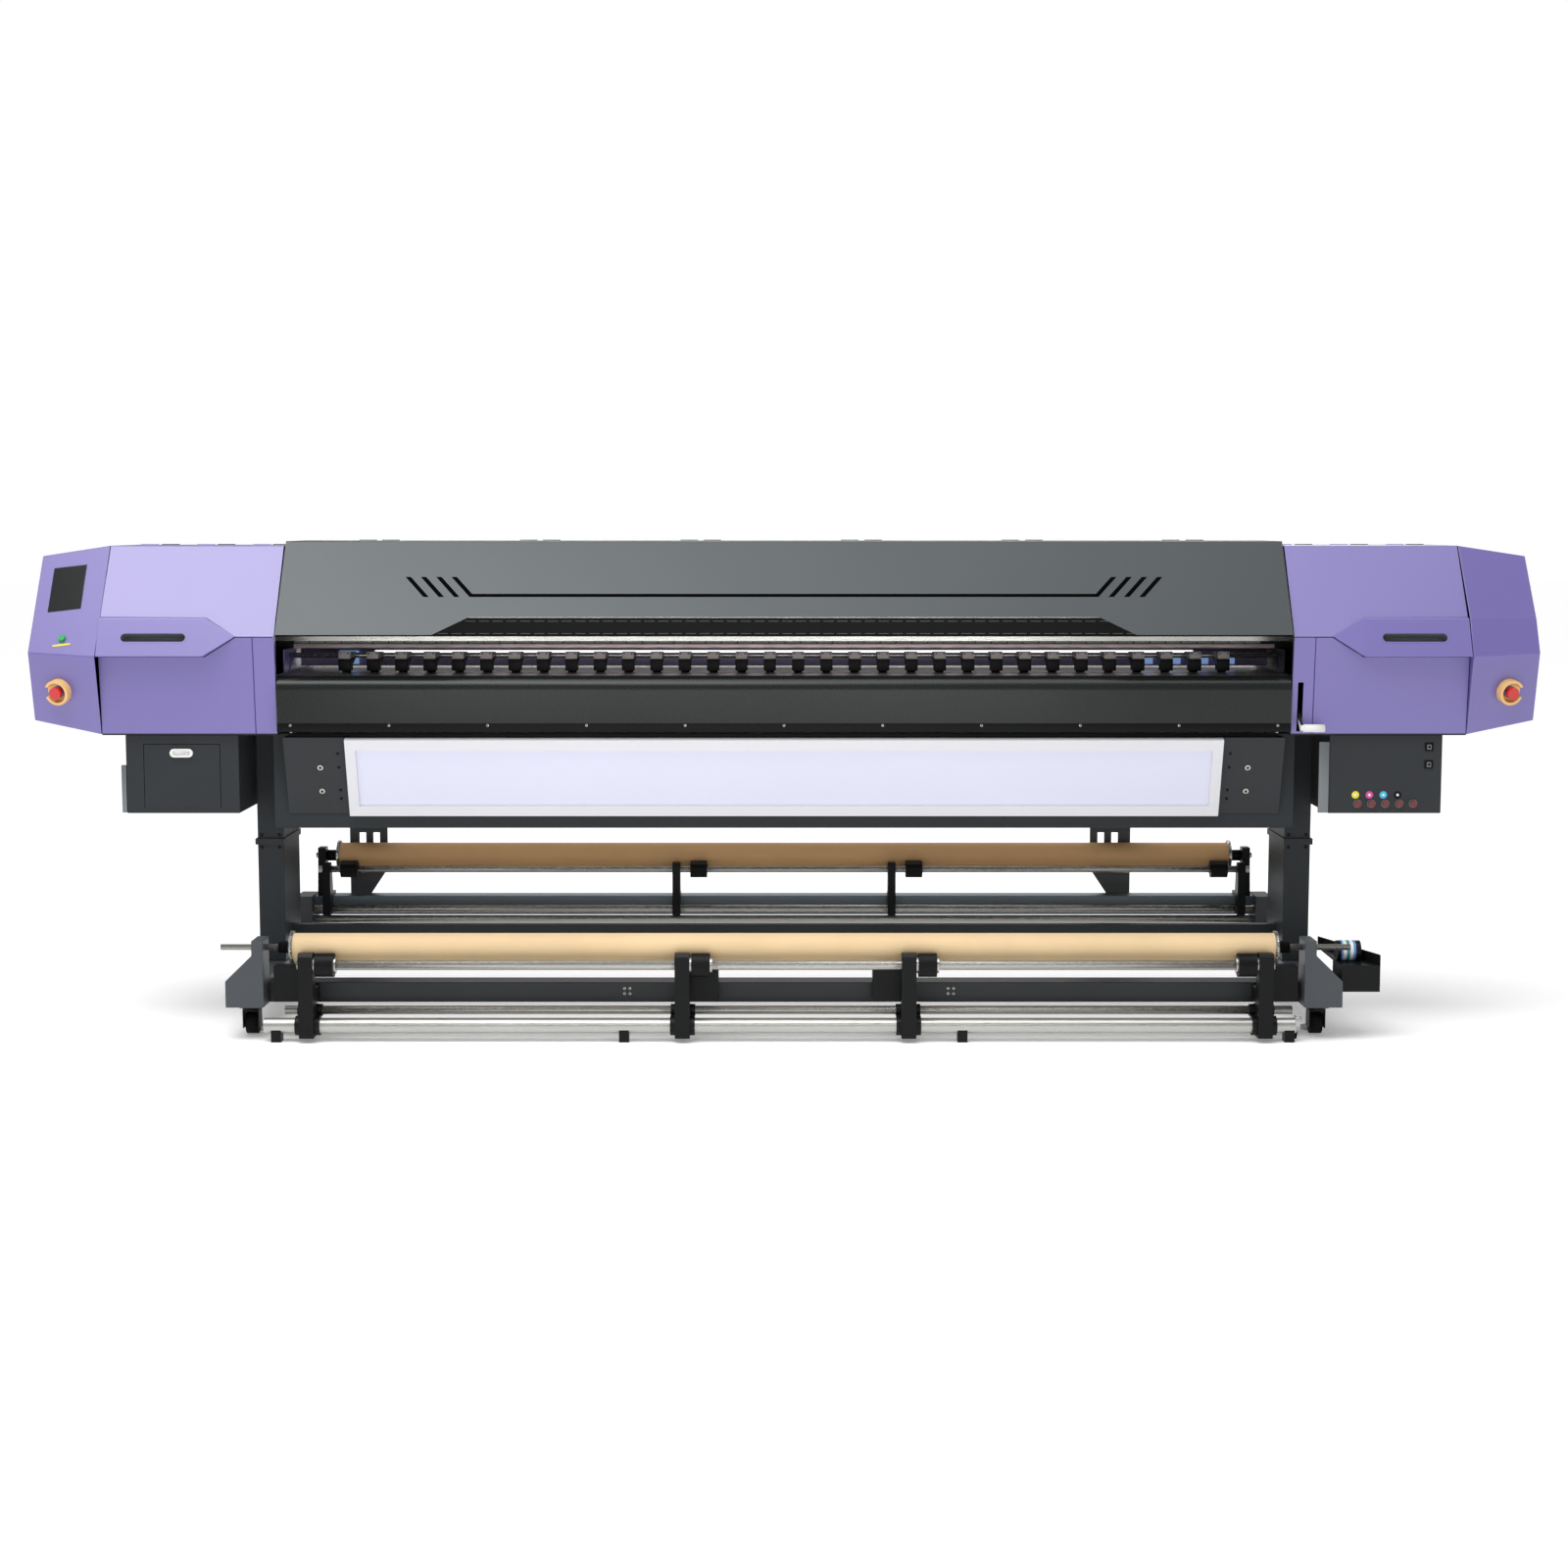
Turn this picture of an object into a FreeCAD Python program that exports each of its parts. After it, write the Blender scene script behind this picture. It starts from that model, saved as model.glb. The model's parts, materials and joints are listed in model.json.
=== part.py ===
import FreeCAD, Part
import math
import os

V = FreeCAD.Vector

# Wide-format roll-to-roll printer. Millimetres, +Z up, the operator stands at -Y.

# overall sizes
cap_half = 2475.0          # centre to the outer face of an end cap
seam_half = 2240.0         # centre to the seam between end cap and lid
hood_half = 1660.0         # centre to the side edge of the middle hood
wall = 3.0                 # sheet thickness of covers and cabinets
gap = 3.0                  # gap between neighbouring cover panels

# side profile of the covers, as (y, z)
top_z = 1603.0
crease_z = 1310.0
band_z = 1246.0
band_top_z = 1369.0
base_z = 988.0
top_front_y = -150.0
crease_y = -352.0
band_y = -385.0
base_front_y = -320.0
hinge_y = 150.0
back_top_y = 230.0
back_y = 330.0
back_shoulder_z = 1500.0
cap_taper = 0.875          # outer end of a cap is the inner end times this
cap_centre = (133.0, 1324.0)
nose_x = 1890.0            # where the raised band starts to taper
nose_tip_x = 1787.0

# hood
hood_rise = 15.0           # hood stands this far above the lids
hood_notch_half_top = 1031.0
hood_notch_half_bottom = 1148.0
hood_notch_rise = 56.0
knuckle_r = 6.0
knuckle_length = 60.0

# stand
leg_x = 1738.0
leg_width = 88.0
leg_front_y = -100.0
leg_back_y = 175.0
foot_x = 1754.0
foot_width = 125.0
foot_z = 110.0
foot_height = 86.0
foot_front_y = -490.0
foot_back_y = 529.5
flange_z = 606.0
beam_z = 668.0
beam_half_depth = 235.0
deck_z = 985.0

# media path
platen_z = 1180.0
platen_front_y = -292.0
platen_back_y = 240.0
platen_thickness = 8.0
grit_y = -130.0
grit_r = 15.0
pinch_r = 12.0
pinch_pitch = 94.5
pinch_count = 32
touch_gap = 0.3            # curved faces that touch stay this far apart
seat_gap = 0.3             # a cover and what carries it stay this far apart

shaft_y = -75.0
shaft_z = 1235.0
lift_shaft_r = 9.0
lever_y = -200.0
lever_z = 1150.0
lever_x0 = 1686.0
lever_x1 = 1694.0

# carriage
rail_beam_z = 1258.0
rail_beam_height = 137.0
rail_beam_front_y = -55.0
rail_beam_depth = 120.0
rail_half = 2190.0
rail_size = (12.0, 15.0)
rail_z = (1290.0, 1368.0)
rail_fit = 0.3
carriage_park_x = 1950.0
carriage_half = 200.0
pulley_r = 20.0
belt_thickness = 2.0
belt_y = (-40.0, -20.0)
pulley_x = 2170.0
pulley_z = 1430.0

# front roll, as (y, z)
core_r = 46.0
core_bore_r = 38.0
core_half = 1600.0
take_axis = (-430.0, 300.0)
supply_axis = (465.0, 483.0)
spindle_r = 10.0
spindle_fit = 0.05
support_r = 39.0
supply_support_r = 30.0
support_shaft_r = 16.0
stand_x = (-1548.0, -330.0, 405.0, 1560.0)
supply_stand_x = (-1640.0, -386.0, 386.0, 1640.0)
stand_width = 48.0

# dryer
dryer_half = 1440.0
dryer_plate_half = 1645.0
dryer_top = (-330.0, 978.0)
dryer_bottom = (-240.0, 718.0)
dryer_depth = 22.0

# cabinets
cabinet_in = 1796.0
cabinet_out = 2168.0
cabinet_front_y = -300.0
cabinet_back_y = 200.0
cabinet_z = 725.0
door_x = (-2110.0, -1857.0)
door_z = (741.0, 955.0)

# casters
caster_x = foot_x
caster_y = (-385.0, 470.0)
caster_wheel_r = 36.0
caster_lift = 1.5
caster_trail = 22.0
leveller_y = (-290.0, 370.0)

os.makedirs("parts", exist_ok=True)


def save(name, *shapes):
    solids = []
    for shape in shapes:
        solids += shape.Solids
    whole = solids[0] if len(solids) == 1 else Part.makeCompound(solids)
    whole.exportStep("parts/" + name + ".step")


def box(x0, x1, y0, y1, z0, z1):
    return Part.makeBox(x1 - x0, y1 - y0, z1 - z0, V(x0, y0, z0))


def prism_x(points, x0, x1):
    ring = [V(x0, y, z) for y, z in points]
    face = Part.Face(Part.makePolygon(ring + ring[:1]))
    return face.extrude(V(x1 - x0, 0, 0))


def prism_y(points, y0, y1):
    ring = [V(x, y0, z) for x, z in points]
    face = Part.Face(Part.makePolygon(ring + ring[:1]))
    return face.extrude(V(0, y1 - y0, 0))


def prism_z(points, z0, z1):
    ring = [V(x, y, z0) for x, y in points]
    face = Part.Face(Part.makePolygon(ring + ring[:1]))
    return face.extrude(V(0, 0, z1 - z0))


def cyl_x(y, z, r, x0, x1):
    return Part.makeCylinder(r, x1 - x0, V(x0, y, z), V(1, 0, 0))


def cyl_y(x, z, r, y0, y1):
    return Part.makeCylinder(r, y1 - y0, V(x, y0, z), V(0, 1, 0))


def cyl_z(x, y, r, z0, z1):
    return Part.makeCylinder(r, z1 - z0, V(x, y, z0), V(0, 0, 1))


def join(first, *others):
    for other in others:
        first = first.fuse(other)
    return first.removeSplitter()


def mirrored(shape):
    return shape.mirror(V(0, 0, 0), V(1, 0, 0))


def inset(points, d):
    """Moves each side of a closed outline inwards by d."""
    area = 0.0
    count = len(points)
    for i in range(count):
        (a, b), (c, e) = points[i], points[(i + 1) % count]
        area += a * e - c * b
    turn = 1.0 if area > 0 else -1.0
    lines = []
    for i in range(count):
        (a, b), (c, e) = points[i], points[(i + 1) % count]
        length = math.hypot(c - a, e - b)
        nx, ny = -(e - b) / length * turn, (c - a) / length * turn
        lines.append((a + nx * d, b + ny * d, (c - a) / length, (e - b) / length))
    moved = []
    for i in range(count):
        px, py, ux, uy = lines[i - 1]
        qx, qy, vx, vy = lines[i]
        t = ((qx - px) * vy - (qy - py) * vx) / (ux * vy - uy * vx)
        moved.append((px + ux * t, py + uy * t))
    return moved


# side profile of a cover and where its slopes are

def on_slope(z):
    """The y of the upper slope of a lid at height z."""
    share = (top_z - z) / (top_z - crease_z)
    return top_front_y + (crease_y - top_front_y) * share


def on_lower(z):
    """The y of the lower slope of a cover at height z."""
    share = (crease_z - z) / (crease_z - base_z)
    return crease_y + (base_front_y - crease_y) * share


cover_profile = [(back_top_y, top_z), (top_front_y, top_z), (crease_y, crease_z),
                 (base_front_y, base_z), (back_y, base_z), (back_y, back_shoulder_z)]
cover_inner = inset(cover_profile, wall)


def band(side, depth):
    """The raised band with its tapered nose, shrunk inwards by depth."""
    upper = V(0, on_slope(band_top_z) - 14.0 + depth, band_top_z)
    lower = V(0, band_y + depth, band_z + depth)
    root_low = V(0, on_lower(band_z) + depth + 12.0, band_z + depth)
    root_high = V(0, on_slope(band_top_z) + depth + 40.0, band_top_z + 8.0)
    ring = [upper, lower, root_low, root_high]
    outer = [p + V(side * (seam_half - gap), 0, 0) for p in ring]
    inner = [p + V(side * nose_x, 0, 0) for p in ring]
    body = Part.makeLoft([Part.makePolygon(outer + outer[:1]),
                          Part.makePolygon(inner + inner[:1])], True, True)
    tip = V(side * nose_tip_x, crease_y + depth, crease_z)
    faces = []
    for i in range(4):
        faces.append(Part.Face(Part.makePolygon([inner[i], inner[(i + 1) % 4], tip, inner[i]])))
    faces.append(Part.Face(Part.makePolygon(inner + inner[:1])))
    nose = Part.makeSolid(Part.makeShell(faces))
    if nose.Volume < 0:
        nose.reverse()
    return body, nose


def knuckles(z, xs, from_lid):
    """Hinge barrels along the top rear edge, each with its leaf."""
    pieces = []
    for x in xs:
        barrel = cyl_x(hinge_y, z - wall, knuckle_r, x, x + knuckle_length)
        if from_lid:
            leaf = box(x, x + knuckle_length, hinge_y - knuckle_r - 12, hinge_y, z - wall, z)
        else:
            leaf = box(x, x + knuckle_length, hinge_y, hinge_y + knuckle_r + 12, z - wall, z)
        pieces.append(barrel.fuse(leaf))
    return pieces


def knuckle_starts(x0, x1, count, shift):
    pitch = (x1 - x0) / count
    return [x0 + pitch * (i + 0.5) + shift for i in range(count)]


hinge_clear = knuckle_r + seat_gap


# side covers: a lid over a fixed lower panel

def side_shell(side):
    x0, x1 = sorted((side * (hood_half + gap), side * (seam_half - gap)))
    body, nose = band(side, 0.0)
    outer = join(prism_x(cover_profile, x0, x1), body, nose)
    body, nose = band(side, wall)
    hollow = join(prism_x(cover_inner, x0 - 1, x1 + 1), body, nose)
    return outer.cut(hollow)


def lid_region(side, raise_edge):
    """Front view of the lid: its lower edge follows the band and the crease."""
    low, high = band_z + raise_edge, crease_z + raise_edge
    ring = [(side * (seam_half + 1), low), (side * nose_x, low), (side * nose_tip_x, high),
            (side * (hood_half - 1), high), (side * (hood_half - 1), top_z + 50),
            (side * (seam_half + 1), top_z + 50)]
    return ring


def side_lid(side):
    shell = side_shell(side)
    lid = shell.common(prism_y(lid_region(side, 0.0), -600, hinge_y - hinge_clear))
    grip = prism_y(rounded_slot(side * 2055.0, 1307.0, 106.0, 15.0), -420, -250)
    lid = lid.cut(grip)
    starts = knuckle_starts(*sorted((side * hood_half, side * seam_half)), 3, -70)
    return join(lid, *knuckles(top_z, starts, True))


def rounded_slot(x, z, half, r):
    ring = []
    for i in range(9):
        angle = math.pi * (i / 8.0 - 0.5)
        ring.append((x + half - r + r * math.cos(angle), z + r * math.sin(angle)))
    for i in range(9):
        angle = math.pi * (i / 8.0 + 0.5)
        ring.append((x - half + r + r * math.cos(angle), z + r * math.sin(angle)))
    return ring


def lower_panel(side):
    shell = side_shell(side).cut(prism_y(lid_region(side, -gap), -600, back_y + 10))
    panel = shell.common(box(-3000, 3000, -600, 0, base_z + wall, top_z))
    if side > 0:
        panel = panel.cut(box(lever_x0 - 5, lever_x1 + 5, -400, -250, 998, 1160))
    seam = box(side * 1733 - 1.5, side * 1733 + 1.5, -400, on_lower(1150) + 1.2, base_z, crease_z)
    return panel.cut(seam)


def rear_cover():
    middle_top = top_z + hood_rise
    outline = [(hinge_y + hinge_clear, top_z), (back_top_y, top_z), (back_y, back_shoulder_z),
               (back_y, base_z + wall)]
    pieces = []
    for x0, x1, rise, low in ((-seam_half + gap, -hood_half - gap, 0.0, base_z + wall),
                              (-hood_half, hood_half, hood_rise, 1232.0),
                              (hood_half + gap, seam_half - gap, 0.0, base_z + wall)):
        points = [(y, z + rise) for y, z in outline[:3]] + [(back_y, low)]
        under = [(y, z + rise) for y, z in ((back_y - wall, back_shoulder_z - 1),
                                            (back_top_y - 1.2, top_z - wall),
                                            (hinge_y + hinge_clear, top_z - wall))]
        sheet = prism_x(points + [(back_y - wall, low)] + under, x0, x1)
        count = 3 if rise == 0 else 6
        starts = knuckle_starts(x0, x1, count, 0)
        pieces.append(join(sheet, *knuckles(top_z + rise, starts, False)))
    return pieces


for side, word in ((-1, "left"), (1, "right")):
    save(word + "_lid", side_lid(side))
save("lower_panels", lower_panel(-1), lower_panel(1))
save("rear_covers", *rear_cover())


# end caps: tapered shells closed at the outer end

def cap_scaled(points):
    cy, cz = cap_centre
    return [(cy + (y - cy) * cap_taper, cz + (z - cz) * cap_taper) for y, z in points]


def cap_solid(points, side, x0, x1):
    share0 = (x0 - seam_half) / (cap_half - seam_half)
    share1 = (x1 - seam_half) / (cap_half - seam_half)
    far = cap_scaled(points)
    rings = []
    for x, share in ((x0, share0), (x1, share1)):
        ring = [V(side * x, a[0] + (b[0] - a[0]) * share, a[1] + (b[1] - a[1]) * share)
                for a, b in zip(points, far)]
        rings.append(Part.makePolygon(ring + ring[:1]))
    return Part.makeLoft(rings, True, True)


cap_profile = [(back_top_y, top_z), (top_front_y, top_z), (on_slope(band_top_z) - 14, band_top_z),
               (band_y, band_z), (base_front_y, base_z), (back_y, base_z), (back_y, back_shoulder_z)]
left_cap_profile = [(back_top_y, top_z), (top_front_y, top_z), (band_y, band_z),
                    (base_front_y, base_z), (back_y, base_z), (back_y, back_shoulder_z)]


return_width = 22.0         # closes the cap's inner edge where it stands proud of the lower panel


def end_cap(profile, side):
    outer = cap_solid(profile, side, seam_half, cap_half)
    shell = outer.cut(cap_solid(inset(profile, wall), side, seam_half - 1, cap_half - wall))
    edge = [(band_y - 1, band_z + 40), (band_y - 1, band_z), (base_front_y - 1, base_z + 5),
            (base_front_y + return_width, base_z + 5), (crease_y + return_width, band_z + 40)]
    x0, x1 = sorted((side * seam_half, side * (seam_half + wall)))
    return join(shell, prism_x(edge, x0, x1).common(outer))


def facet(profile, i, side):
    """Corner, direction outwards along X, direction down the slope, and normal of a cap facet."""
    a = profile[i]
    b = profile[i + 1]
    far = cap_scaled([a])[0]
    corner = V(side * seam_half, a[0], a[1])
    down = V(0, b[0] - a[0], b[1] - a[1])
    down.normalize()
    across = V(side * (cap_half - seam_half), far[0] - a[0], far[1] - a[1])
    normal = across.cross(down)
    normal.normalize()
    if normal.y > 0:
        normal = normal * -1
    across = down.cross(normal)
    if across.x * side < 0:
        across = across * -1
    return corner, across, down, normal


def facet_point(frame, across, down, out):
    corner, u, v, n = frame
    return corner + u * across + v * down + n * out


def facet_cyl(frame, across, down, low, high, r):
    return Part.makeCylinder(r, high - low, facet_point(frame, across, down, low), frame[3])


def facet_box(frame, across, down, width, height, low, high):
    ring = [facet_point(frame, across + a * width / 2, down + b * height / 2, low)
            for a, b in ((-1, -1), (1, -1), (1, 1), (-1, 1))]
    return Part.Face(Part.makePolygon(ring + ring[:1])).extrude(frame[3] * (high - low))


upper_facet = facet(left_cap_profile, 1, -1)
lower_facet = {-1: facet(left_cap_profile, 2, -1), 1: facet(cap_profile, 3, 1)}
screen_at = (132.0, 150.0)
screen_size = (118.0, 172.0)
start_at = (122.0, 345.0)
estop_at = (138.0, 128.0)
stem_r = 9.0
stem_fit = 0.05
estop_travel = 6.0

left_cap = end_cap(left_cap_profile, -1)
left_cap = left_cap.cut(facet_box(upper_facet, *screen_at, *screen_size, -10, 5))
left_cap = left_cap.cut(facet_cyl(upper_facet, *start_at, -10, 5, stem_r + stem_fit))
right_cap = end_cap(cap_profile, 1)
caps = {-1: left_cap, 1: right_cap}
for side in (-1, 1):
    caps[side] = caps[side].cut(facet_cyl(lower_facet[side], *estop_at, -10, 5, stem_r + stem_fit))
save("left_end_cap", caps[-1])
save("right_end_cap", caps[1])
screen = facet_box(upper_facet, *screen_at, screen_size[0] - 0.4, screen_size[1] - 0.4, -22, 1)
save("touch_screen", screen)
start = join(facet_cyl(upper_facet, *start_at, -18, 3.5, stem_r),
             facet_cyl(upper_facet, *start_at, 3.5, 9, 11.0))
save("start_button", start)
for side, word in ((-1, "left"), (1, "right")):
    frame = lower_facet[side]
    head = facet_cyl(frame, *estop_at, 20, 34, 20.0)
    save(word + "_stop_button", join(facet_cyl(frame, *estop_at, -20, 20, stem_r), head))
guards = []
for side in (-1, 1):
    frame = lower_facet[side]
    ring = facet_cyl(frame, *estop_at, 0.0, 26, 42).cut(facet_cyl(frame, *estop_at, -1, 27, 33))
    ring = ring.cut(facet_box(frame, estop_at[0] + 40, estop_at[1], 60, 34, 3, 30))
    base = facet_cyl(frame, *estop_at, 0.0, 3, 42).cut(facet_cyl(frame, *estop_at, -1, 27, 20))
    guards.append(join(ring, base))
save("stop_button_guards", *guards)


# middle hood with its notch, slots and hinge

hood_top_z = top_z + hood_rise
hood_front = (top_front_y + 8, hood_top_z)
hood_edge = (crease_y - 12, crease_z + 6)


def hood():
    outer = [(hinge_y - hinge_clear, hood_top_z), hood_front, hood_edge,
             (hood_edge[0] + 14, hood_edge[1])]
    inner = [(hood_edge[0] + 14, hood_edge[1] + wall), (hood_edge[0] + wall + 2, hood_edge[1] + wall),
             (hood_front[0] + 2, hood_top_z - wall), (hinge_y - hinge_clear, hood_top_z - wall)]
    x1 = hood_half - gap
    shell = prism_x(outer + inner, -x1, x1)
    low = hood_edge[1] - 5
    notch = [(-hood_notch_half_bottom - 10, low), (-hood_notch_half_top, hood_edge[1] + hood_notch_rise),
             (hood_notch_half_top, hood_edge[1] + hood_notch_rise), (hood_notch_half_bottom + 10, low)]
    shell = shell.cut(prism_y(notch, -500, -200))
    for side in (-1, 1):
        for i in range(4):
            x = side * (1239 - i * 50.5)
            slot = [(x - 7, 1500), (x + 7, 1500), (x + 7 - side * 64, 1438), (x - 7 - side * 64, 1438)]
            shell = shell.cut(prism_y(slot, -500, 0))
    shell = shell.cut(box(-1025, 1025, -500, 0, 1438, 1445))
    starts = knuckle_starts(-x1, x1, 6, -80)
    return join(shell, *knuckles(hood_top_z, starts, True))


save("hood", hood())


# stand: feet, legs, beams

def foot_frame(side):
    x0, x1 = foot_x - foot_width / 2, foot_x + foot_width / 2
    beam = box(x0, x1, foot_front_y, foot_back_y, foot_z, foot_z + foot_height)
    beam = beam.cut(box(x0 + 5, x1 - 5, foot_front_y + 5, foot_back_y - 5, foot_z + 5,
                        foot_z + foot_height - 5))
    top = foot_z + foot_height
    post = box(x0, x0 + 38, foot_front_y, foot_front_y + 100, top, take_axis[1] + 30)
    post = post.cut(cyl_x(*take_axis, spindle_r + spindle_fit, x0 - 1, x0 + 40))
    gusset = prism_y([(x1, top), (x0 + 38, top + 85), (x0 + 38, top)], foot_front_y, foot_front_y + 100)
    rear = box(x0, x0 + 60, supply_axis[0] - 90, supply_axis[0] + 45, top, 345)
    whole = join(beam, post, gusset, rear)
    return whole if side > 0 else mirrored(whole)


def leg(side):
    x0, x1 = leg_x - leg_width / 2, leg_x + leg_width / 2
    column = box(x0, x1, leg_front_y, leg_back_y, foot_z + foot_height, deck_z)
    column = column.cut(box(x0 + 5, x1 - 5, leg_front_y + 5, leg_back_y - 5,
                            foot_z + foot_height + 5, deck_z - 5))
    flange = box(x0 - 4, x1 + 6, leg_front_y - 10, leg_back_y + 10, flange_z - 10, flange_z + 10)
    flange = flange.cut(box(x0 + 5, x1 - 5, leg_front_y + 5, leg_back_y - 5, flange_z - 11, flange_z + 11))
    whole = join(column, flange)
    return whole if side > 0 else mirrored(whole)


leg_in = leg_x - leg_width / 2
main_beam = box(-leg_in, leg_in, -beam_half_depth, beam_half_depth, beam_z, deck_z)
main_beam = main_beam.cut(box(-leg_in - 1, leg_in + 1, -beam_half_depth + 6, beam_half_depth - 6,
                              beam_z + 6, deck_z - 6))
save("main_beam", main_beam)
foot_in = foot_x - foot_width / 2
cross_y = (-400.0, -310.0)
cross_z = (112.0, 178.0)
front_beam = box(-foot_in, foot_in, *cross_y, *cross_z)
front_beam = front_beam.cut(box(-foot_in - 1, foot_in + 1, cross_y[0] + 4, cross_y[1] - 4,
                                cross_z[0] + 4, cross_z[1] - 4))
rear_y = (supply_axis[0] - 40.0, supply_axis[0] + 35.0)
rear_z = (273.0, 341.0)
rear_beam = box(-foot_in, foot_in, *rear_y, *rear_z)
rear_beam = rear_beam.cut(box(-foot_in - 1, foot_in + 1, rear_y[0] + 4, rear_y[1] - 4,
                              rear_z[0] + 4, rear_z[1] - 4))
rear_beam = rear_beam.cut(box(-foot_in - 1, foot_in + 1, rear_y[0] - 1, rear_y[0] + 2, 302, 312))
hanger_y = 522.0                   # rear face, behind the supply roll
hanger_sheet = 6.0
hanger_top_z = 785.0
hanger_knee_z = 640.0
hanger_low_z = 325.0
hanger_slot_z = (430.0, 560.0)
hanger_slot_x = (28.0, 52.0)       # first slot, from the inner edge
hanger_corner = (70.0, 105.0)      # cut corner, along x and z
hangers = []
for x_in, x_out in ((-1440.0, -1577.0), (1111.0, 1258.0)):
    way = 1 if x_out > x_in else -1
    front = hanger_y - hanger_sheet
    plate = prism_x([(beam_half_depth, hanger_top_z), (hanger_y, hanger_knee_z), (hanger_y, hanger_low_z),
                     (front, hanger_low_z), (front, hanger_knee_z - 4),
                     (beam_half_depth, hanger_top_z - 9)], min(x_in, x_out), max(x_in, x_out))
    corner = [(x_in - way, hanger_low_z - 1), (x_in + way * hanger_corner[0], hanger_low_z - 1),
              (x_in - way, hanger_low_z + hanger_corner[1])]
    plate = plate.cut(prism_y(corner, front - 1, hanger_y + 1))
    for shift in (0.0, 50.0):
        slot_x = sorted(x_in + way * (s + shift) for s in hanger_slot_x)
        plate = plate.cut(box(*slot_x, front - 1, hanger_y + 1, *hanger_slot_z))
    hangers.append(plate)
tie_y = (20.0, 60.0)               # tie bar between the two legs
tie_z = (262.0, 302.0)
tie_beam = box(-leg_in, leg_in, *tie_y, *tie_z)
save("cross_beams", front_beam, rear_beam, tie_beam, *hangers)


# side frames: a deck over each leg and cabinet, and the bulkhead beside the window

bulk_in = hood_half + 5.0


def side_frame(side):
    points = inset(cover_profile, wall + seat_gap)
    plate = prism_x(points, bulk_in, bulk_in + 4)
    window = [(-312, platen_z + 2), (-312, 1392), (-250, 1488), (-15, 1488), (-15, 1403),
              (-62, 1403), (-62, rail_beam_z), (-168, rail_beam_z), (-168, platen_z + 2)]
    plate = plate.cut(prism_x(window, bulk_in - 1, bulk_in + 5))
    plate = plate.cut(box(bulk_in - 1, bulk_in + 5, rail_beam_front_y - touch_gap,
                          rail_beam_front_y + rail_beam_depth + touch_gap,
                          rail_beam_z - touch_gap, rail_beam_z + rail_beam_height + touch_gap))
    plate = plate.cut(box(bulk_in - 1, bulk_in + 5, -62, rail_beam_front_y, rail_beam_z, 1403))
    plate = plate.cut(cyl_x(grit_y, platen_z - grit_r, 8.05, bulk_in - 1, bulk_in + 5))
    plate = plate.cut(cyl_x(shaft_y, shaft_z, lift_shaft_r + 0.05, bulk_in - 1, bulk_in + 5))
    ledge = box(hood_half - 20, bulk_in + 4, back_y - wall - 5, back_y - wall - seat_gap, 1300, 1480)
    plate = plate.fuse(ledge)
    deck = box(bulk_in, seam_half - seat_gap, base_front_y + 6, back_y - wall - seat_gap,
               deck_z, deck_z + 6)
    post = box(rail_half - 60, rail_half - 20, 0, 60, deck_z + 6, rail_beam_z)
    whole = join(plate, deck, post)
    if side > 0:
        return join(whole, cyl_x(lever_y, lever_z, 12.0, bulk_in + 4, lever_x0 - 10.1))
    return mirrored(whole)


save("side_frames", side_frame(-1), side_frame(1))


# cabinets

def cabinet(side):
    x0, x1 = sorted((side * cabinet_in, side * cabinet_out))
    body = box(x0, x1, cabinet_front_y, cabinet_back_y, cabinet_z, deck_z)
    return body.cut(box(x0 + wall, x1 - wall, cabinet_front_y + wall, cabinet_back_y - wall,
                        cabinet_z + wall, deck_z - wall))


door_gap = 2.0
left_cabinet = cabinet(-1).cut(box(*door_x, cabinet_front_y - 1, cabinet_front_y + wall + 1, *door_z))
left_cabinet = left_cabinet.fuse(box(door_x[0], door_x[0] + 60, cabinet_front_y + wall,
                                     cabinet_front_y + 9, door_z[0] - 12, door_z[0] - 1))
save("left_cabinet", left_cabinet)
door = box(door_x[0] + door_gap, door_x[1] - door_gap, cabinet_front_y, cabinet_front_y + wall,
           door_z[0] + 0.5, door_z[1] - door_gap)
door_mid = (door_x[0] + door_x[1]) / 2
pull = prism_y(rounded_slot(door_mid, 925.0, 38.0, 14.0), cabinet_front_y - 9, cabinet_front_y)
pull = pull.cut(prism_y(rounded_slot(door_mid, 925.0, 28.0, 8.0), cabinet_front_y - 10, cabinet_front_y - 2))
save("cabinet_door", door, pull)

button_x = [1892.0 + i * 46.0 for i in range(5)]
button_z = 757.0
right_cabinet = cabinet(1)
for x in button_x:
    right_cabinet = right_cabinet.cut(cyl_y(x, button_z, 6.05, cabinet_front_y - 1,
                                            cabinet_front_y + wall + 1))
save("right_cabinet", right_cabinet)
for i, x in enumerate(button_x):
    cap = cyl_y(x, button_z, 11.0, cabinet_front_y - 12, cabinet_front_y - 4.5)
    save("ink_button_%d" % (i + 1), join(cap, cyl_y(x, button_z, 6.0, cabinet_front_y - 4.5,
                                                    cabinet_front_y + 16)))


# dryer panel in front of the main beam

def slant(low, high, push):
    """Points on the tilted front line, pushed towards the front by push."""
    (ya, za), (yb, zb) = dryer_top, dryer_bottom
    length = math.hypot(yb - ya, zb - za)
    ny, nz = (zb - za) / length, -(yb - ya) / length
    ends = []
    for share in (low, high):
        ends.append((yb + (ya - yb) * share + ny * push, zb + (za - zb) * share + nz * push))
    return ends


def slab(low, high, front, back, x0, x1):
    a, b = slant(low, high, front)
    c, d = slant(low, high, back)
    return prism_x([a, b, d, c], x0, x1)


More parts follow.
